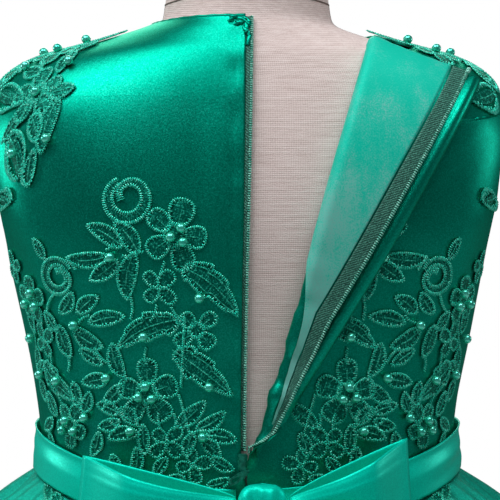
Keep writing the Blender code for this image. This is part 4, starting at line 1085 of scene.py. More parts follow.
def sash_cloth(material):
    """The sash, with its upper edge off the bodice and long soft folds along it."""
    turns = np.linspace(BACK + 0.05, BACK + 2 * np.pi - 0.05, 260)

    def out(turn, up):
        wave = 0.12 * np.sin(5 * turn + 2 * up) + 0.08 * np.sin(9 * turn + 1)
        fold = np.sin(2.3 * np.pi * up + 1.6 * np.sin(1.5 * turn))
        fold = 0.55 * fold * (0.5 + 0.5 * np.sin(3 * turn + 0.6))
        dent = bump_at(up, 0.45 + 0.2 * np.sin(2 * turn), 0.16)
        dent = -0.8 * dent * (0.5 + 0.5 * np.sin(4 * turn + 2))
        shape = SASH_OUT_LOW + (SASH_OUT_TOP - SASH_OUT_LOW) * blend(0.5, 0.95, up)
        return shape + wave + 0.8 * up**4 + fold + dent + CLOTH

    rows = 22
    outer = band(turns, SASH_TOP_Z, SASH_LOW_Z, out, rows)
    inner = band(turns, SASH_TOP_Z, SASH_LOW_Z, lambda turn, up: out(turn, up) - SHEET, rows)
    return shell("sash_cloth", outer, inner, material)


def net_y(x, z):
    """y of the outermost parts of the net at the back."""
    table = np.array(SKIRT)
    back_z, side_z, _ = SASH_LOW_Z
    low_z = side_z + (back_z - side_z) * (1 - np.minimum(np.abs(x) / SASH_HALF_WIDTH, 1) ** 2)
    down = np.clip((low_z - z) / (low_z - HEM_Z), 0, 1)
    out = np.interp(down, table[:, 0], table[:, 1] + table[:, 2]) + CLOTH / 2
    edge = np.abs(x) / (SKIRT_WAIST[0] + out)
    return -(SKIRT_WAIST[1] + out) * np.maximum(1 - edge**2.1, 0) ** (1 / 2.1)


def on_net(x, z, off):
    """Points off the outermost parts of the net at the back."""
    x, z = np.asarray(x, float), np.asarray(z, float)
    slope = (net_y(x + 1, z) - net_y(x - 1, z)) / 2
    rise = (net_y(x, z + 1) - net_y(x, z - 1)) / 2
    outward = unit(joined(slope, -1, rise))
    return joined(x, net_y(x, z), z) + outward * np.asarray(off)[..., None]


def bow_seat(x, z):
    """y of the surface that the bow lies on: the sash round the waist, and the net below it."""
    sash_y = SEAT_Y + SEAT_BENDS * (np.abs(x) / SEAT_HALF_WIDTH) ** 2.2
    return np.minimum(sash_y, net_y(x, z) - 4.0)


def bow_loop_cloth(name, side, reach, top_z, low_z, material):
    """A loop of the bow: out along the sash, round the fold and back over it to the knot."""
    near_half = 13.5
    knot_half = KNOT_HALF[0] + 0.35
    steps = np.linspace(0, 1, 97)
    out_and_back = 1 - np.abs(2 * steps - 1)
    puff = 12 * np.sin(np.pi * out_and_back**1.3) + 5.5 * out_and_back
    turn_round = 6.0 * (1 - np.cos(np.pi * np.clip((steps - 0.4) / 0.2, 0, 1))) / 2
    layer = turn_round + puff * 0.9 * blend(0.5, 0.66, steps)
    front = steps > 0.5
    grid = []
    for t in np.linspace(0, 1, 46):
        far_z = low_z + (top_z - low_z) * t
        near_z = BOW_Z - near_half + 2 * near_half * t
        x = BOW_X + side * (knot_half + reach * out_and_back * (1 + 0.10 * (1 - t)))
        z = near_z + (far_z - near_z) * out_and_back**0.8
        pleat = 1.3 * np.sin(3 * np.pi * t) + 0.9 * np.sin(7.3 * np.pi * t + 0.8)
        ripple = pleat * (1 - out_and_back) * front
        sag = 1.4 * np.sin(2.2 * np.pi * t + 3.0 * out_and_back) * np.sin(np.pi * out_and_back) * front
        lines = sum(0.5 * np.exp(-(((t - at) / 0.02) ** 2)) for at in (0.94, 0.87))
        sewn = lines * front * np.sin(np.pi * out_and_back) ** 0.5
        y = bow_seat(x, z) - layer - ripple - sag - sewn
        z = z - 2.6 * t * np.sin(np.pi * out_and_back**0.8) * front
        grid.append(joined(x, y, z))
    return thickened(name, np.array(grid), material)


def knot_cloth(material):
    """The knot: a rounded wrap of sash with soft pleats."""
    half_width, half_depth, half_height = KNOT_HALF
    turns = full_turn(72)
    sheets = []
    for inset in (0, SHEET):
        rings = []
        for v in np.linspace(-1, 1, 40):
            swell = max(1 - abs(v) ** 4.5, 0.0005) ** 0.4
            wide, deep = (max(half * swell - inset, 0.8) for half in (half_width, half_depth))
            x, y = ring(turns, wide, deep, deep, 3.4)
            share = x / half_width * np.pi
            pleat = 1.3 * np.cos(share * 1.9 + 1.9 * v + 0.9) + 0.5 * np.cos(share * 4.1 - 2.4 * v)
            pleat = pleat * (np.sin(turns) < 0) * swell
            lean = -(abs(v) ** 1.5) * half_height * (v < 0)
            level = v * (half_height - 0.5 * inset)
            rings.append(joined(x, y + pleat + lean, level) + [BOW_X, BOW_Y, BOW_Z])
        sheets.append(np.array(rings))
    return shell("bow_knot_cloth", sheets[0], sheets[1], material, True)


def bow_tail_cloth(name, side, length, material):
    """A tail of the bow, which hangs from the knot down over the net."""
    half_near, half_far, start_x, drift = 7.0, 30.0, 8.0, 62.0
    top_z = BOW_Z - KNOT_HALF[2] - 1.3
    grid = []
    across = np.linspace(-1, 1, 25)
    for t in np.linspace(0, 1, 80) ** 1.15:
        slant = 12.0 * t**6
        half = half_near + (half_far - half_near) * float(blend(0, 0.7, t))
        z = top_z - length * t + slant * across * side
        x = BOW_X + side * (start_x + drift * t) + half * across
        fine = 0.8 * np.sin(6.5 * across + 2 * side + 2.5 * t) * (1 - 0.5 * t)
        pleat = 1.6 * np.sin(2.5 * across + side) + fine
        clear = 9.0 - 2.0 * np.exp(-10 * t) + pleat * min(1, 4 * t)
        grid.append(joined(x, net_y(x, z) - clear, z))
    return thickened(name, np.array(grid), material)


# The skirts

def skirt_point(turn, down, column_out, column_gather, gathers, shorter, offset):
    """Points of a gathered skirt below the sash, at turns and shares of the way down to the hem."""
    table = np.array(SKIRT)
    ends = np.vstack([2 * table[0] - table[1], table, 2 * table[-1] - table[-2]])
    i = np.clip(np.searchsorted(table[:, 0], down, side="right") - 1, 0, len(table) - 2)
    t = (down - table[i, 0]) / (table[i + 1, 0] - table[i, 0])

    def passing(column):
        """A smooth curve that passes through the table's rows."""
        span = table[i + 1, 0] - table[i, 0]
        before, here, there, after = (ends[i + k, column] for k in range(4))
        at = [ends[i + k, 0] for k in range(4)]
        leave = (there - before) / (at[2] - at[0]) * span
        arrive = (after - here) / (at[3] - at[1]) * span
        return (
            here * (2 * t**3 - 3 * t**2 + 1)
            + there * (3 * t**2 - 2 * t**3)
            + leave * (t**3 - 2 * t**2 + t)
            + arrive * (t**3 - t**2)
        )

    out, gather = passing(column_out), passing(column_gather)
    low_z = round_z(turn, *SASH_LOW_Z)
    z = low_z + (HEM_Z - low_z) * down * shorter
    wave = gather * np.cos(gathers * turn + 0.5 * np.sin(3 * turn) * down)
    fine = np.minimum(gather * 0.7, 2.4) * (1 - blend(0.1, 0.6, down) * 0.7)
    wave = wave + fine * np.sin(2.9 * gathers * turn + 2.1 * np.sin(5 * turn + 1.0) + 1.5 * down)
    half_width, depth = SKIRT_WAIST[0] + out, SKIRT_WAIST[1] + out
    level = joined(*ring(turn, half_width, depth, depth, 2.2 - 0.2 * down))
    level = level + unit(level) * (wave + offset)[..., None]
    return np.concatenate([level, z[..., None]], -1)


def skirt_cloth(name, half, columns, gathers, shorter, thickness, material):
    """The front or back half of a skirt between its seams, and its flat rise behind the sash."""
    start = SIDE if half == "front" else -np.pi
    turns = np.linspace(start + SIDE_SEAM, start + np.pi - SIDE_SEAM, gathers // 2 * 26 + 1)
    out, gather = (SKIRT_COLUMNS.index(c) for c in columns)
    down = np.concatenate([np.linspace(0, 0.12, 18), np.linspace(0.12, 1, 40)[1:]])
    turn, depth = np.meshgrid(turns, down)
    rest = spline(list(FIGURE.values()), WAIST)
    seam_z = tuple(rest[:3] - 0.6)
    sheets = []
    for offset in (thickness / 2, -thickness / 2):
        flat_out = SKIRT[0][out] + offset
        rise = band(turns, seam_z, SASH_LOW_Z, lambda _, up: flat_out + 0 * up, 2)[1:]
        hanging = skirt_point(turn, depth, out, gather, gathers, shorter, offset)
        sheets.append(np.concatenate([rise, hanging]))
    return shell(name, sheets[0], sheets[1], material)


# The lace, as it lies on the left half and mirrored on the right. Each motif is its kind, its distance
# from the centre line, height, length or radius, width or number of petals, and the turn of its tip in
# degrees. On the shoulders the height is the length from the shoulder's ridge, below 0 at the back. A
# stem is the distance and height of both its ends, and a pearl those of its middle.
BACK_LACE = (
    ("scroll", 60, 872, 12.4, 5.8, 180), ("flower", 36, 853.5, 16.5, 5, 70),
    ("leaf", 71, 853, 21, 8, 150), ("leaf", 60, 852, 20, 8.5, 128), ("leaf", 80, 842, 23, 7.5, 184),
    ("leaf", 71.5, 835.5, 18, 8, 216), ("leaf", 58, 832.5, 24, 9.4, 262),
    ("flower", 44, 827, 9.5, 4, 45), ("leaf", 18, 825, 37, 15.5, 318),
    ("flower", 25, 805.5, 11.5, 4, 40), ("leaf", 50, 803, 35, 14.5, 207),
    ("leaf", 21.5, 783, 37, 15.5, 322), ("scroll", 94.5, 832, 10.2, 5.2, 90),
    ("flower", 110, 818, 11.5, 5, 90), ("leaf", 90.5, 818, 14, 7, 55),
    ("leaf", 79.5, 817.5, 15, 7.5, 38), ("leaf", 70, 810, 20, 7.5, 12),
    ("leaf", 79.5, 800, 19, 8.5, 333), ("leaf", 91.5, 797.5, 18, 7.5, 294),
    ("flower", 103, 797, 8.5, 4, 30), ("leaf", 78, 790, 15, 6, 331), ("leaf", 64, 789, 19, 7, 290),
    ("leaf", 76, 778, 16, 7.5, 193), ("leaf", 67, 771.5, 15, 7, 225), ("leaf", 95, 775, 30, 12.5, 326),
    ("flower", 50, 772.5, 16.0, 5, 20), ("flower", 89, 753, 11, 5, 50),
    ("leaf", 98.5, 763, 14, 6.5, 120), ("leaf", 80.5, 766, 12, 6, 70),
    ("leaf", 69.5, 763.5, 13, 6.5, 165), ("leaf", 69, 755.5, 13, 6.5, 200),
    ("leaf", 59, 760, 12, 6.5, 315), ("leaf", 62, 749.5, 17, 7, 195), ("leaf", 51.5, 748, 16, 5.5, 275),
    ("flower", 40, 747, 9.5, 4, 45), ("leaf", 27.8, 762, 20, 7.5, 44), ("leaf", 18, 759, 17, 6.5, 34),
    ("leaf", 12.5, 750, 15, 7, 350), ("leaf", 18, 744, 13, 6.5, 315), ("leaf", 28.5, 746, 13, 6, 255),
    ("leaf", 110, 806, 13, 6, 285), ("leaf", 107.5, 785, 14, 6.5, 268), ("leaf", 104, 769, 13, 6, 300),
    ("flower", 119, 834, 8, 4, 20), ("leaf", 104, 846, 12, 5, 120), ("flower", 27, 735.5, 8.5, 4, 10),
    ("leaf", 37, 727, 13, 6, 200), ("leaf", 14, 727, 12, 5.5, 20), ("leaf", 66, 733, 13, 6, 285),
    ("leaf", 56, 736, 16, 6, 262), ("leaf", 43, 734, 12, 5.5, 240), ("leaf", 12, 736.5, 13, 6, 330),
    ("leaf", 76, 744, 14, 6, 250), ("leaf", 101, 751, 13, 6, 215), ("leaf", 99, 741, 12, 5.5, 300),
    ("leaf", 86, 770, 13, 6, 100), ("leaf", 105, 781, 12, 5.5, 40), ("leaf", 99, 808, 12, 5.5, 130),
)
BACK_STEMS = (
    (57.8, 822, 57.8, 811), (41, 840, 43, 834), (37.6, 817, 31.3, 810), (45, 818, 48, 810),
    (31, 812, 33, 776), (50.2, 796, 50.2, 788), (89.4, 790, 89.4, 782), (99, 790, 98, 780),
    (44, 762, 43, 754), (36.4, 762, 36, 754), (34, 772, 28.8, 753), (28.8, 753, 22, 754),
    (104, 810, 104, 804), (85.6, 836, 90, 842), (60, 860, 60, 858), (84, 808, 79, 812),
    (88, 806, 84, 803), (76, 795, 70, 788), (60, 779, 64, 776), (70, 768, 72, 762), (56, 764, 54, 755),
    (101, 812, 97, 822), (95, 768, 92, 762), (108, 812, 108, 792), (24, 797, 27, 793),
    (66, 848, 70, 846), (52, 845, 58, 844), (62, 843, 58, 842), (70, 758, 64, 754), (22, 752, 16, 751),
)
FRONT_LACE = (
    ("flower", 20, 860, 15, 5, 90), ("leaf", 42, 870, 32, 12, 160), ("leaf", 22, 838, 32, 12, 270),
    ("leaf", 50, 848, 30, 11, 205), ("flower", 72, 838, 13, 5, 10), ("leaf", 78, 815, 30, 11, 250),
    ("flower", 30, 810, 14, 5, 36), ("leaf", 50, 796, 30, 11, 320), ("leaf", 36, 852, 14, 6, 120),
    ("leaf", 58, 860, 15, 6, 60), ("leaf", 62, 828, 14, 6, 200), ("flower", 48, 826, 8, 4, 20),
    ("leaf", 66, 802, 15, 6, 300), ("leaf", 90, 830, 15, 6, 30), ("flower", 64, 784, 8, 4, 45),
    ("leaf", 38, 782, 15, 6, 250), ("leaf", 12, 822, 13, 5, 120), ("leaf", 14, 796, 14, 6, 220),
    ("leaf", 78, 788, 15, 6, 20), ("leaf", 28, 770, 14, 6, 300), ("leaf", 94, 802, 14, 6, 280),
    ("scroll", 84, 857, 9, 3.8, 60), ("scroll", 30, 886, 8.5, 3.6, 120),
)
FRONT_STEMS = (
    (30, 845, 44, 836), (52, 834, 62, 824), (42, 792, 40, 788), (72, 804, 78, 794), (24, 800, 28, 776),
    (30, 876, 30, 872), (74, 849, 80, 852), (58, 788, 62, 786), (30, 826, 40, 826), (20, 846, 20, 848),
)
SHOULDER_LACE = (
    ("leaf", 80, -20, 26, 9, 185), ("flower", 98, -26, 13, 5, 30), ("leaf", 113, -12, 26, 9, 45),
    ("leaf", 120, -44, 26, 9, 300), ("flower", 106, -58, 13, 5, 0), ("leaf", 118, -80, 28, 9.4, 280),
    ("leaf", 99, -80, 24, 9, 250), ("leaf", 98, 2, 28, 10, 95), ("flower", 102, 24, 12, 5, 0),
    ("leaf", 88, -6, 18, 7, 160), ("leaf", 72, -10, 18, 5.5, 188), ("leaf", 84, -34, 16, 7, 220),
    ("leaf", 109, -40, 14, 6.5, 130), ("leaf", 92, -46, 16, 7, 240), ("leaf", 117, -62, 15, 7, 20),
    ("leaf", 94, -64, 15, 7, 160), ("leaf", 107, -76, 15, 7, 280), ("leaf", 109, -94, 16, 6.5, 262),
    ("leaf", 122, -96, 14, 6, 300), ("leaf", 106, -6, 15, 7, 70), ("leaf", 117, 4, 15, 7, 20),
    ("leaf", 87, 10, 15, 7, 130), ("leaf", 112, 14, 14, 7, 60), ("leaf", 91, 33, 15, 7, 120),
    ("leaf", 113, 35, 15, 7, 50), ("scroll", 121, -24, 8, 3.6, 40),
)
SHOULDER_STEMS = (
    (92, -34, 90, -42), (104, -36, 106, -48), (112, -22, 117, -32), (100, -12, 100, -2),
    (100, 10, 102, 18), (104, -68, 103, -74), (116, -70, 118, -74), (94, 16, 98, 20),
    (110, 30, 108, 28),
)
NET_LACE = (
    ("flower", 103, 711, 6.5, 4, 20),
    ("flower", 96, 699, 7.0, 5, 60),
    ("leaf", 88, 704, 11, 5, 150),
    ("leaf", 110, 699, 11, 5, 320),
)
BACK_PEARLS = (
    (32.8, 857), (38, 852.5), (31.8, 850), (67.7, 842.5), (23.7, 822), (109, 822), (112, 815.8),
    (106.5, 815.2), (86, 807), (51.3, 802), (18.8, 776.5), (69.6, 780), (50.5, 776), (54, 770.3),
    (47.2, 769.8), (94.8, 776.5), (90.5, 755.5), (86.4, 750), (92, 750), (80.8, 758), (57.8, 752.5),
    (22, 750.5), (110, 797), (104.5, 778),
)
FRONT_PEARLS = (
    (20, 864), (16, 857.5), (24, 857.5), (72, 842), (69, 835), (75, 835), (30, 813.5), (27, 807.5),
    (33.5, 807.5), (48, 826), (90, 822), (64, 784), (42, 870), (22, 838),
)
SHOULDER_PEARLS = (
    (98, -26), (106, -58), (118, -78), (102, 24), (84, -12), (113, -34), (90, -50), (108, 6),
    (100, -86),
)
LACE_OFF, PEARL_RADIUS = 0.5, 2.5

# How far the lace of the right back keeps from the fold, and what it keeps clear of on its shoulder.
CLEAR_OF_FOLD, FLAP_CORNER_X, FLAP_CORNER_P = 14, 119, -30


def evenly(path, step, closed):
    """Points at even steps along a flat path."""
    path = np.asarray(path, float)
    if closed:
        path = np.vstack([path, path[:1]])
    along = lengths(path)
    count = max(4, 2 * int(along[-1] / step / 2))
    return sampled(path, along, np.linspace(0, along[-1], count, endpoint=not closed))


def turned_by(points, a):
    """Flat points turned by an angle."""
    points = np.asarray(points, float)
    u, v = points.T
    return joined(u * math.cos(a) - v * math.sin(a), u * math.sin(a) + v * math.cos(a))


def toward(marks, middle):
    """From each flat mark to the nearest point of a middle line."""
    apart = np.linalg.norm(marks[:, None] - middle[None], axis=-1)
    return middle[np.argmin(apart, axis=1)] - marks


class Lace:
    """Draws one lace patch on cloth from flat shapes: whipped cords, stitched fills and pearls.

    A leaf or flower above a size has more parts than a small one.
    """

    CORD, FILL, PEARL, STITCH = range(4)
    APART, DOME = 1.05, 0.28
    LARGE_LEAF, LARGE_FLOWER, LEAF_TEETH = 9.5, 10.9, 3

    def __init__(self, place, base):
        self.batch = Batch()
        self.place, self.base = place, base

    def footing(self, path, lift):
        """Points off the cloth along a flat path, and the way up from each."""
        x, z = path.T
        off = self.base(x, z) + lift
        low = self.place(x, z, off)
        return low, unit(self.place(x, z, off + 1.0) - low)

    def ribbon(self, path, wide, high, closed=False, lift=0.0, sides=5, slot=CORD):
        """A cord or a domed fill along a flat path, standing on the cloth."""
        low, up = self.footing(path, lift)
        high = np.broadcast_to(high, len(path))
        sweep(self.batch, low + up * high[:, None], up, wide, high, sides, closed, slot)

    def cord(self, path, half, closed=False, lift=0.2):
        """A whipped cord: it swells and narrows with each stitch."""
        path = evenly(path, self.APART * 0.6, closed)
        swell = np.where(np.arange(len(path)) % 2, 1.3, 0.7)
        self.ribbon(path, half * swell, half * 0.85 * swell, closed, lift)

    def pearl(self, x, z):
        centre, _ = self.footing(np.array([[x, z]]), LACE + PEARL_RADIUS * 0.55)
        ball(self.batch, centre[0], PEARL_RADIUS, self.PEARL)

    def blade(self, axis, half, lift=0.05):
        """The fill of a leaf or petal: a low dome along its axis."""
        self.ribbon(axis, half, self.DOME, lift=lift, sides=8, slot=self.FILL)

    def stitches(self, starts, ends):
        """Short straight stitches between pairs of flat points."""
        lift, half = 0.45, 0.25
        low, up = self.footing(np.concatenate([starts, ends]), lift)
        count = len(starts)
        ahead = unit(low[count:] - low[:count])
        beside = unit(np.cross(up, np.concatenate([ahead, ahead]))) * half
        up = up * half * 2
        corners = np.stack([low - beside, low + beside, low + beside + up, low - beside + up], 1)
        points = np.stack([corners[:count], corners[count:]], 1)
        box = [[0, 1, 5, 4], [1, 2, 6, 5], [2, 3, 7, 6], [3, 0, 4, 7], [0, 3, 2, 1], [4, 5, 6, 7]]
        faces = (np.array(box) + 8 * np.arange(count)[:, None, None]).reshape(-1, 4)
        self.batch.put(points, faces, None, self.STITCH)

    def edged(self, to_flat, loop, middle, reach):
        """A corded edge, with whipping stitches from it towards a middle line."""
        self.cord(to_flat(loop), 0.42, True)
        marks = evenly(loop, self.APART, True)
        inward = toward(marks, middle)
        room = np.linalg.norm(inward, axis=1, keepdims=True)
        inward = inward / np.maximum(room, 0.1)
        ragged = 0.6 + 0.4 * np.sin(2.7 * np.arange(len(marks)) + len(marks))[:, None]
        ends = marks + inward * np.minimum(reach * ragged, room * 0.8)
        self.stitches(to_flat(marks - inward * 0.8), to_flat(ends))

    def leaf(self, to_flat, size, width, seed):
        """A leaf: a dark blade in a whipped edge, with a rib; a wide one is toothed and has inner rows."""
        large = width > self.LARGE_LEAF
        bend = 0.09 * size * math.sin(1.7 * seed + 0.4)

        def axis(s):
            return joined(size * (s - 0.5), bend * np.sin(np.pi * s))

        def half(s, side):
            lean = (0.80 if side > 0 else 0.95) - (0.25 if large else 0)
            shape = np.sin(np.pi * np.clip(s, 0.0, 1.0) ** lean) ** (0.85 if large else 0.7)
            if large:
                shape = shape * (0.76 + 0.32 * np.mod(self.LEAF_TEETH * s + 0.3 * side + 0.1 * seed, 1.0))
            return width / 2 * shape

        def edge(s, side, scale=1.0):
            return axis(s) + joined(0, side * scale * half(s, side))

        s = np.linspace(0.015, 0.985, 26 if large else 15)
        t = np.linspace(0.04, 0.96, 13)
        self.blade(to_flat(axis(t)), (half(t, 1) + half(t, -1)) / 2 * 0.94)
        loop = np.vstack([edge(s, 1), edge(s[::-1], -1)])
        self.edged(to_flat, loop, axis(np.linspace(0.1, 0.9, 12)), 1.8 if large else 1.4)
        rib = np.linspace(-0.04, 0.9 if large else 0.7, 12)
        self.cord(to_flat(axis(rib)), 0.36, False, 0.45)
        if large:
            inner = np.linspace(0.10, 0.88, 16)
            for side in (-1, 1):
                self.cord(to_flat(edge(inner, side, 0.62)), 0.34, False, 0.45)

    def flower(self, to_flat, size, petals, seed):
        """A flower: looped petals round a dark heart that a ring of stitches closes."""
        span = math.pi / petals
        large = size > self.LARGE_FLOWER
        root = 0.24 if large else 0.10
        for petal in range(petals):
            angle = 2 * math.pi * petal / petals + 0.08 * math.sin(4.1 * petal + seed)
            uneven = 1 + 0.10 * math.sin(2.3 * petal + seed)
            wide = (0.66 if petals > 4 else 0.56) * math.sin(span)
            wide *= 1 + 0.12 * math.cos(3.1 * petal + seed)

            def on_petal(points, angle=angle, uneven=uneven):
                return to_flat(turned_by(points * uneven, angle))

            t = np.linspace(0, 1, 9)
            middle = joined(root + (1 - root) * t, 0) * size
            half = wide * np.sin(np.pi * np.clip(t, 0.05, 0.96) ** 1.2) ** 0.6
            self.blade(on_petal(middle), half * size * 0.92)
            turns = full_turn(20)
            along = (1 - np.cos(turns)) / 2
            side = np.sign(np.sin(turns)) * np.abs(np.sin(turns)) ** 0.75 * (0.62 + 0.38 * along)
            loop = joined(root + (1.02 - root) * along, wide * side) * size
            self.edged(on_petal, loop, middle[2:7], 1.4 if large else 1.0)
            if large:
                self.cord(on_petal(middle[1:6]), 0.3, False, 0.4)
        if large:
            turns = full_turn(16)
            heart = 0.34
            edge = joined(np.cos(turns), np.sin(turns)) * size * heart
            self.edged(to_flat, edge, np.zeros((1, 2)), 1.4)
            reach = np.linspace(-0.3, 0.3, 7)
            self.blade(to_flat(joined(reach * size, 0)), np.sqrt(heart**2 - reach**2) * size, 0.2)

    def scroll(self, to_flat, size, width, _):
        """A scroll: a band between two corded edges, which curls in on itself."""
        t = np.linspace(0, 1, 60)
        turns = math.radians(-60) + math.radians(440) * t
        radius = (size - width / 2) * (1 - 0.66 * blend(0.62, 1.0, t)) * (1 + 0.08 * np.sin(turns))
        path = joined(radius * np.cos(turns), radius * np.sin(turns))
        half = width / 2 * (0.55 + 0.45 * np.sin(np.pi * np.minimum(t * 1.2, 1))) * (1 - 0.35 * t)
        self.ribbon(to_flat(path[::2]), half[::2], self.DOME, lift=0.05, sides=6, slot=self.FILL)
        for side in (-1, 1):
            edge = path * (1 + side * (half / radius)[:, None])
            self.cord(to_flat(edge), 0.42)
            marks = evenly(edge, self.APART, False)
            inward = unit(toward(marks, path))
            self.stitches(to_flat(marks - inward * 0.9), to_flat(marks + inward * 1.1))

    def stem(self, start, end, seed):
        """A thin corded stem with a slight bow."""
        start, end = np.array(start, float), np.array(end, float)
        t = np.linspace(0, 1, 11)[:, None]
        away = np.array([start[1] - end[1], end[0] - start[0]])
        path = start + (end - start) * t + away * 0.10 * math.sin(seed * 2.1 + 1) * np.sin(np.pi * t)
        self.cord(path, 0.42)
        marks = evenly(path, self.APART * 0.9, False)
        ahead = unit(np.gradient(marks, axis=0))
        across = joined(-ahead[:, 1], ahead[:, 0]) * 0.75 + ahead * 0.4
        self.stitches(marks - across, marks + across)

    def motif(self, kind, at, size, width, turn, side, seed):
        """One motif at a flat place; side mirrors it for the left half."""
        a = math.radians(turn)

        def to_flat(points):
            flat = turned_by(points, a)
            return joined(at[0] - side * flat[:, 0], at[1] + flat[:, 1])

        draw = {"leaf": self.leaf, "flower": self.flower, "scroll": self.scroll}[kind]
        draw(to_flat, size, width, seed)

    def draw(self, table, stems, pearls, along, side, keep):
        """Draws a table's motifs, the stems between them and the pearls."""
        for seed, (kind, x, z, size, width, turn) in enumerate(table):
            if keep(x, z):
                self.motif(kind, (side * along(x, z), z), size, width, turn, side, seed)
        for seed, (x0, z0, x1, z1) in enumerate(stems):
            if keep(x0, z0) and keep(x1, z1):
                self.stem((side * along(x0, z0), z0), (side * along(x1, z1), z1), seed)
        for x, z in pearls:
            if keep(x, z):
                self.pearl(side * along(x, z), z)


# The form and its stand

def on(piece, *nodes, slot=None):
    """Puts a piece on the dress's body, in place of its solids."""
    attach(piece, DRESS)
    if nodes:
        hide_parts(*nodes)


def form_body(material, seam_material):
    """The dress form's body and neck, and the seams of its cover."""
    rows = np.linspace(0, ROW["neck_top"], 150)
    turns = full_turn(128)
    grid = skin(turns[None, :], rows[:, None])
    body = capped("form_linen", grid, joined(turns * MEAN_RADIUS, grid[..., 2]), material)
    seams = Batch()
    level = ROW["neck_base"] + 0.35

    def seam(turn, row, off, half_width, half_height, sides, closed):
        turn, row, off = whole(turn, row, off)
        line = figure(turn, row, off)
        outward = unit(figure(turn, row, 1 + 0 * off) - line)
        sweep(seams, line, outward, half_width, half_height, sides, closed)

    seam(full_turn(120), level, 0.05, 0.45, 0.35, 6, True)
    for turn in (SIDE, math.pi, FRONT):
        seam(turn, np.linspace(0.1, level, 200), 0.02, 0.32, 0.22, 5, False)
    return body, seams.make("form_seams", seam_material)


def turned(name, profile, material, around=96):
    """A turned piece about the Z axis from (radius, z) pairs, bottom to top, closed at both ends."""
    turns = full_turn(around)
    radius, z = np.array(profile, float).T[..., None]
    grid = joined(radius * np.cos(turns), radius * np.sin(turns), z)
    return capped(name, grid, flat_of(grid), material)


def rounded(corners, radius):
    """A profile whose inner corners are rounded off."""
    corners = [np.array(c, float) for c in corners]
    path = [corners[0]]
    for before, here, after in zip(corners, corners[1:], corners[2:]):
        to_before, to_after = before - here, after - here
        cut = min(radius, np.linalg.norm(to_before) * 0.45, np.linalg.norm(to_after) * 0.45)
        start, end = here + unit(to_before) * cut, here + unit(to_after) * cut
        for t in np.linspace(0, 1, 5):
            path.append(start * (1 - t) ** 2 + 2 * here * t * (1 - t) + end * t * t)
    return [*path, corners[-1]]


def stand(wood, steel):
    """The base, pole, collar and neck cap, each from the radius and height of its corners."""
    low, top = FIGURE["lower_edge"][0], FIGURE["neck_top"][0]
    plate = (
        (BASE_RADIUS - 1, 0), (BASE_RADIUS, 0.5), (BASE_RADIUS, BASE_RIM),
        (BASE_RADIUS - 14, BASE_HEIGHT), (60, BASE_HEIGHT), (20, BASE_HEIGHT),
    )
    tube = ((POLE_RADIUS, BASE_HEIGHT + GAP), (POLE_RADIUS, low - COLLAR_HEIGHT - 2 * GAP))
    cup = (
        (18, low - COLLAR_HEIGHT - GAP), (COLLAR_RADIUS, low - 12),
        (COLLAR_RADIUS, low - 2), (22, low - GAP),
    )
    dome = (
        (CAP_RADIUS - 2, top + GAP), (CAP_RADIUS, top + 5), (CAP_RADIUS - 3, top + 11),
        (16, top + CAP_HEIGHT), (3, top + CAP_HEIGHT),
    )
    on(turned("stand_base", rounded(plate, 3.0), steel), "form_base")
    on(turned("stand_pole", tube, steel, 48), "form_pole")
    on(turned("stand_collar", rounded(cup, 1.5), wood), "form_collar")
    on(turned("neck_cap", rounded(dome, 3.0), wood), "form_neck_cap")


# The studio

def look_at(thing, place, target):
    thing.location = place
    thing.rotation_euler = (Vector(target) - Vector(place)).to_track_quat("-Z", "Y").to_euler()


def soft_light(name, place, target, width, height, power):
    lamp = bpy.data.lights.new(name, "AREA")
    lamp.shape = "RECTANGLE"
    lamp.size, lamp.size_y, lamp.energy = width, height, power
    thing = bpy.data.objects.new(name, lamp)
    thing.visible_camera = False
    bpy.context.scene.collection.objects.link(thing)
    look_at(thing, place, target)


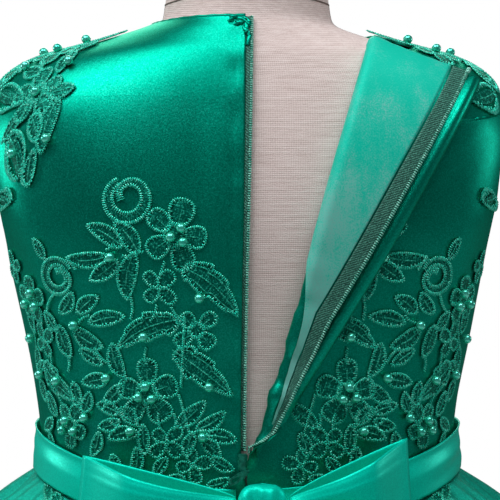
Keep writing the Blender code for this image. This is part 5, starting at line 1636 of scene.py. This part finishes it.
def studio():
    """The camera of the photograph, a white surround, a pale floor and soft lights."""
    camera = bpy.data.objects.new("camera", bpy.data.cameras.new("camera"))
    bpy.context.scene.collection.objects.link(camera)
    distance, shown, tilt = 1.3, 0.27, math.radians(4)
    target = Vector((0.0016, 0, 0.840))
    place = target + distance * Vector((0, -math.cos(tilt), math.sin(tilt)))
    look_at(camera, place, target)
    camera.data.sensor_width = 36.0
    camera.data.lens = camera.data.sensor_width * distance / shown
    camera.data.clip_start, camera.data.clip_end = 0.01, 100.0
    bpy.context.scene.camera = camera

    world = bpy.data.worlds.new("surround")
    bpy.context.scene.world = world
    world.use_nodes = True
    nodes, links = world.node_tree.nodes, world.node_tree.links
    lit, seen = nodes["Background"], nodes.new("ShaderNodeBackground")
    for background, strength in ((lit, 0.08), (seen, 1.0)):
        background.inputs["Color"].default_value = (1, 1, 1, 1)
        background.inputs["Strength"].default_value = strength
    ray, mix = nodes.new("ShaderNodeLightPath"), nodes.new("ShaderNodeMixShader")
    links.new(ray.outputs["Is Camera Ray"], mix.inputs["Fac"])
    links.new(lit.outputs[0], mix.inputs[1])
    links.new(seen.outputs[0], mix.inputs[2])
    links.new(mix.outputs[0], nodes["World Output"].inputs["Surface"])

    floor, half = Batch(), 3000
    floor.put([(-half, -half, 0), (half, -half, 0), (half, half, 0), (-half, half, 0)], [[0, 1, 2, 3]])
    pale = Finish("pale_floor", (0.80, 0.80, 0.80), 0.8)
    pale.bump(pale.noise(4.0), 0.02)
    ground = floor.make("floor", pale.material)
    ground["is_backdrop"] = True

    soft_light("key_left", (-0.80, -0.60, 2.35), (-0.05, 0, 0.92), 1.5, 1.0, 25)
    soft_light("key_right", (0.50, -0.72, 2.30), (0.10, 0, 0.90), 0.8, 0.6, 10)
    soft_light("side_left", (-1.45, 0.33, 0.98), (-0.1, 0, 0.73), 0.3, 0.3, 4)
    soft_light("side_right", (1.45, 0.33, 0.98), (0.1, 0, 0.73), 0.3, 0.3, 1.8)
    soft_light("front_fill", (0.0, 1.7, 1.7), (0, 0, 0.8), 1.4, 1.0, 14)
    bpy.context.scene.view_settings.view_transform = "Standard"


# How each sheet was cut before it was sewn: its width and length in metres, its area in square metres
# where it isn't a rectangle, how it is held, what it lies on, and what is sewn to it.
CUTS = {
    "front_cloth": ((0.36, 0.26), 0.077, "laid", "form_linen",
                    ("neck_edge_front", "lace_front_left_threads", "lace_front_right_threads")),
    "back_left_cloth": ((0.19, 0.26), 0.041, "laid", "form_linen",
                        ("neck_edge_left", "left_back_corner", "lace_back_left_threads",
                         "lace_shoulder_left_threads")),
    "back_right_cloth": ((0.19, 0.26), 0.041, "folded", "form_linen",
                         ("neck_edge_right", "lace_back_right_threads", "lace_shoulder_right_threads")),
    "flap_lining": ((0.06, 0.20), 0.0066, "folded", "back_right_cloth", ()),
    "flap_zip_tape": ((0.010, 0.23), 0.0016, "laid", "back_right_cloth", ("flap_zip_coil",)),
    "left_zip_tape": ((0.010, 0.225), 0.0008, "laid", "form_linen", ("left_zip_coil",)),
    "sash_cloth": ((0.63, 0.042), 0.0188, "laid", "front_cloth", ()),
    "bow_knot_cloth": ((0.045, 0.075), None, "folded", "sash_cloth", ()),
    "bow_loop_left_cloth": ((0.075, 0.18), None, "folded", "bow_knot_cloth", ()),
    "bow_loop_right_cloth": ((0.083, 0.145), None, "folded", "bow_knot_cloth", ()),
    "bow_tail_left_cloth": ((0.062, 0.27), None, "hung", "bow_knot_cloth", ()),
    "bow_tail_right_cloth": ((0.062, 0.25), None, "hung", "bow_knot_cloth", ()),
    "skirt_front_cloth": ((0.90, 0.45), 0.29, "gathered", "sash_cloth", ()),
    "skirt_back_cloth": ((0.90, 0.45), 0.29, "gathered", "sash_cloth", ()),
    "tulle_front_cloth": ((1.13, 0.46), 0.38, "gathered", "sash_cloth", ()),
    "tulle_back_cloth": ((1.13, 0.46), 0.38, "gathered", "sash_cloth",
                         ("net_lace_left_threads", "net_lace_right_threads")),
}


def bodice(view, fold, emerald):
    """The front, the two backs with their lining and zip, and the neck's edge."""
    tape, coil = woven_tape(), coil_thread()
    front, front_grid = front_cloth(emerald)
    left, left_grid = left_cloth(view, emerald)
    right, right_grid = right_cloth(fold, emerald)
    on(front, "bodice_front", slot="satin")
    on(left, "back_left", slot="satin")
    on(right, "back_right", slot="satin")
    on(lining_on_flap(fold, lining_cloth()), "back_lining_right", slot="lining")
    sides = (("right", flap_tape(fold, tape, coil)), ("left", left_tape(view, tape, coil)))
    for name, (strip, loops) in sides:
        on(strip, f"zip_tape_{name}", slot="zip_tape")
        on(loops, slot="zip_tape")

    on(crumpled_corner(view, emerald), slot="satin")
    tops = (("front", front_grid, 0), ("left", left_grid, 0), ("right", right_grid, FLAP_COLUMNS))
    for name, grid, first in tops:
        on(rolled_edge(f"neck_edge_{name}", grid, first, emerald), slot="satin")


def waist(material):
    """The sash and its bow."""
    on(sash_cloth(material), "sash", slot="sash_satin")
    on(knot_cloth(material), "bow_knot", slot="sash_satin")
    loops = (("left", LEFT, 78.0, 740.0, 668.0), ("right", RIGHT, 60.0, 749.0, 666.0))
    for name, side, reach, top_z, low_z in loops:
        loop = bow_loop_cloth(f"bow_loop_{name}_cloth", side, reach, top_z, low_z, material)
        on(loop, f"bow_loop_{name}", slot="sash_satin")
    for name, side, length in (("left", LEFT, 265.0), ("right", RIGHT, 245.0)):
        tail = bow_tail_cloth(f"bow_tail_{name}_cloth", side, length, material)
        on(tail, f"bow_tail_{name}", slot="sash_satin")


def skirts(emerald):
    """The satin skirt and the net over it, each in two halves."""
    kinds = (
        ("skirt", "satin", SATIN_GATHERS, SATIN_SHORTER, SHEET, emerald),
        ("tulle", "net", NET_GATHERS, 1.0, NET_SHEET, net_cloth()),
    )
    for half in ("front", "back"):
        for name, slot, gathers, shorter, thickness, material in kinds:
            columns = (f"{slot}_out", f"{slot}_gather")
            cloth = f"{name}_{half}_cloth"
            piece = skirt_cloth(cloth, half, columns, gathers, shorter, thickness, material)
            on(piece, f"{name}_{half}", slot=slot)


def lace(fold):
    """The lace patches, on the right back only where the flap leaves room, and the lace on the net."""
    threads = lace_cord(), lace_fill(), pearl(), lace_stitch()
    back_flat = Chart(BACK, True, back_relief)
    front_flat = Chart(FRONT, True, front_relief)
    shoulder = OverShoulder()

    def on_cloth(x, _):
        return LACE_OFF + 0 * x

    def on_turned_back(x, z):
        """The right back stands a little further off beside its fold."""
        beside = (x - fold.fold_x(z)) / (130 - fold.fold_x(z))
        return LACE_OFF + (FOLD_BASE - EASE_BODY - CLOTH / 2) * (1 - blend(0, 0.45, beside))

    def everywhere(*_):
        return True

    def beside_flap(x, z):
        return x > fold.fold_x(z) + CLEAR_OF_FOLD

    def clear_of_flap(x, along_shoulder):
        return x > FLAP_CORNER_X or along_shoulder > FLAP_CORNER_P

    sides = (
        ("left", LEFT, everywhere, everywhere, on_cloth),
        ("right", RIGHT, beside_flap, clear_of_flap, on_turned_back),
    )
    for name, side, keep, keep_shoulder, base in sides:
        patches = (
            ("back", BACK_LACE, BACK_STEMS, BACK_PEARLS, back_flat, base, keep),
            ("front", FRONT_LACE, FRONT_STEMS, FRONT_PEARLS, front_flat, on_cloth, everywhere),
            ("shoulder", SHOULDER_LACE, SHOULDER_STEMS, SHOULDER_PEARLS, shoulder, on_cloth, keep_shoulder),
        )
        for patch, table, stems, pearls, chart, stands, kept in patches:
            drawn = Lace(chart.on_cloth, stands)
            drawn.draw(table, stems, pearls, chart.along, side, kept)
            piece = drawn.batch.make(f"lace_{patch}_{name}_threads", *threads)
            on(piece, f"lace_{patch}_{name}", slot="lace_thread")
    for name, side in (("left", LEFT), ("right", RIGHT)):
        drawn = Lace(on_net, on_cloth)
        drawn.draw(NET_LACE, (), (), lambda x, z: x, side, everywhere)
        on(drawn.batch.make(f"net_lace_{name}_threads", *threads), slot="lace_thread")


def main():
    emerald = satin("emerald_satin", (0.0, 0.27, 0.18), (0.0, 0.35, 0.235), (0.01, 0.47, 0.335))
    # The sash, knot, loops and tails get lighter colours than the bodice's satin: painted light, for the
    # parts that catch the overhead lamps.
    sash_painted_lighter = ((0.0, 0.66, 0.48), (0.0, 0.76, 0.56), (0.005, 0.84, 0.63))
    view = Chart(BACK, False, back_relief)
    fold = Fold(view)
    bodice(view, fold, emerald)
    waist(satin("sash_satin", *sash_painted_lighter, 0.25, 0.34))
    skirts(emerald)
    lace(fold)
    body, seams = form_body(linen(), seam_thread())
    on(body, "form_torso", slot="linen")
    on(seams, slot="linen")
    stand(turned_wood(), painted_steel())

    for name, (flat, area, held, under, sewn_on) in CUTS.items():
        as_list(sewn_on)

    slider = enamel()
    for node in ("zip_slider", "zip_pull"):
        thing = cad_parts[node]
        thing.data.materials.clear()
        thing.data.materials.append(slider)

    studio()


main()
corners = [[list(corner) for corner in box] for box in (SOLID_BOX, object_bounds())]
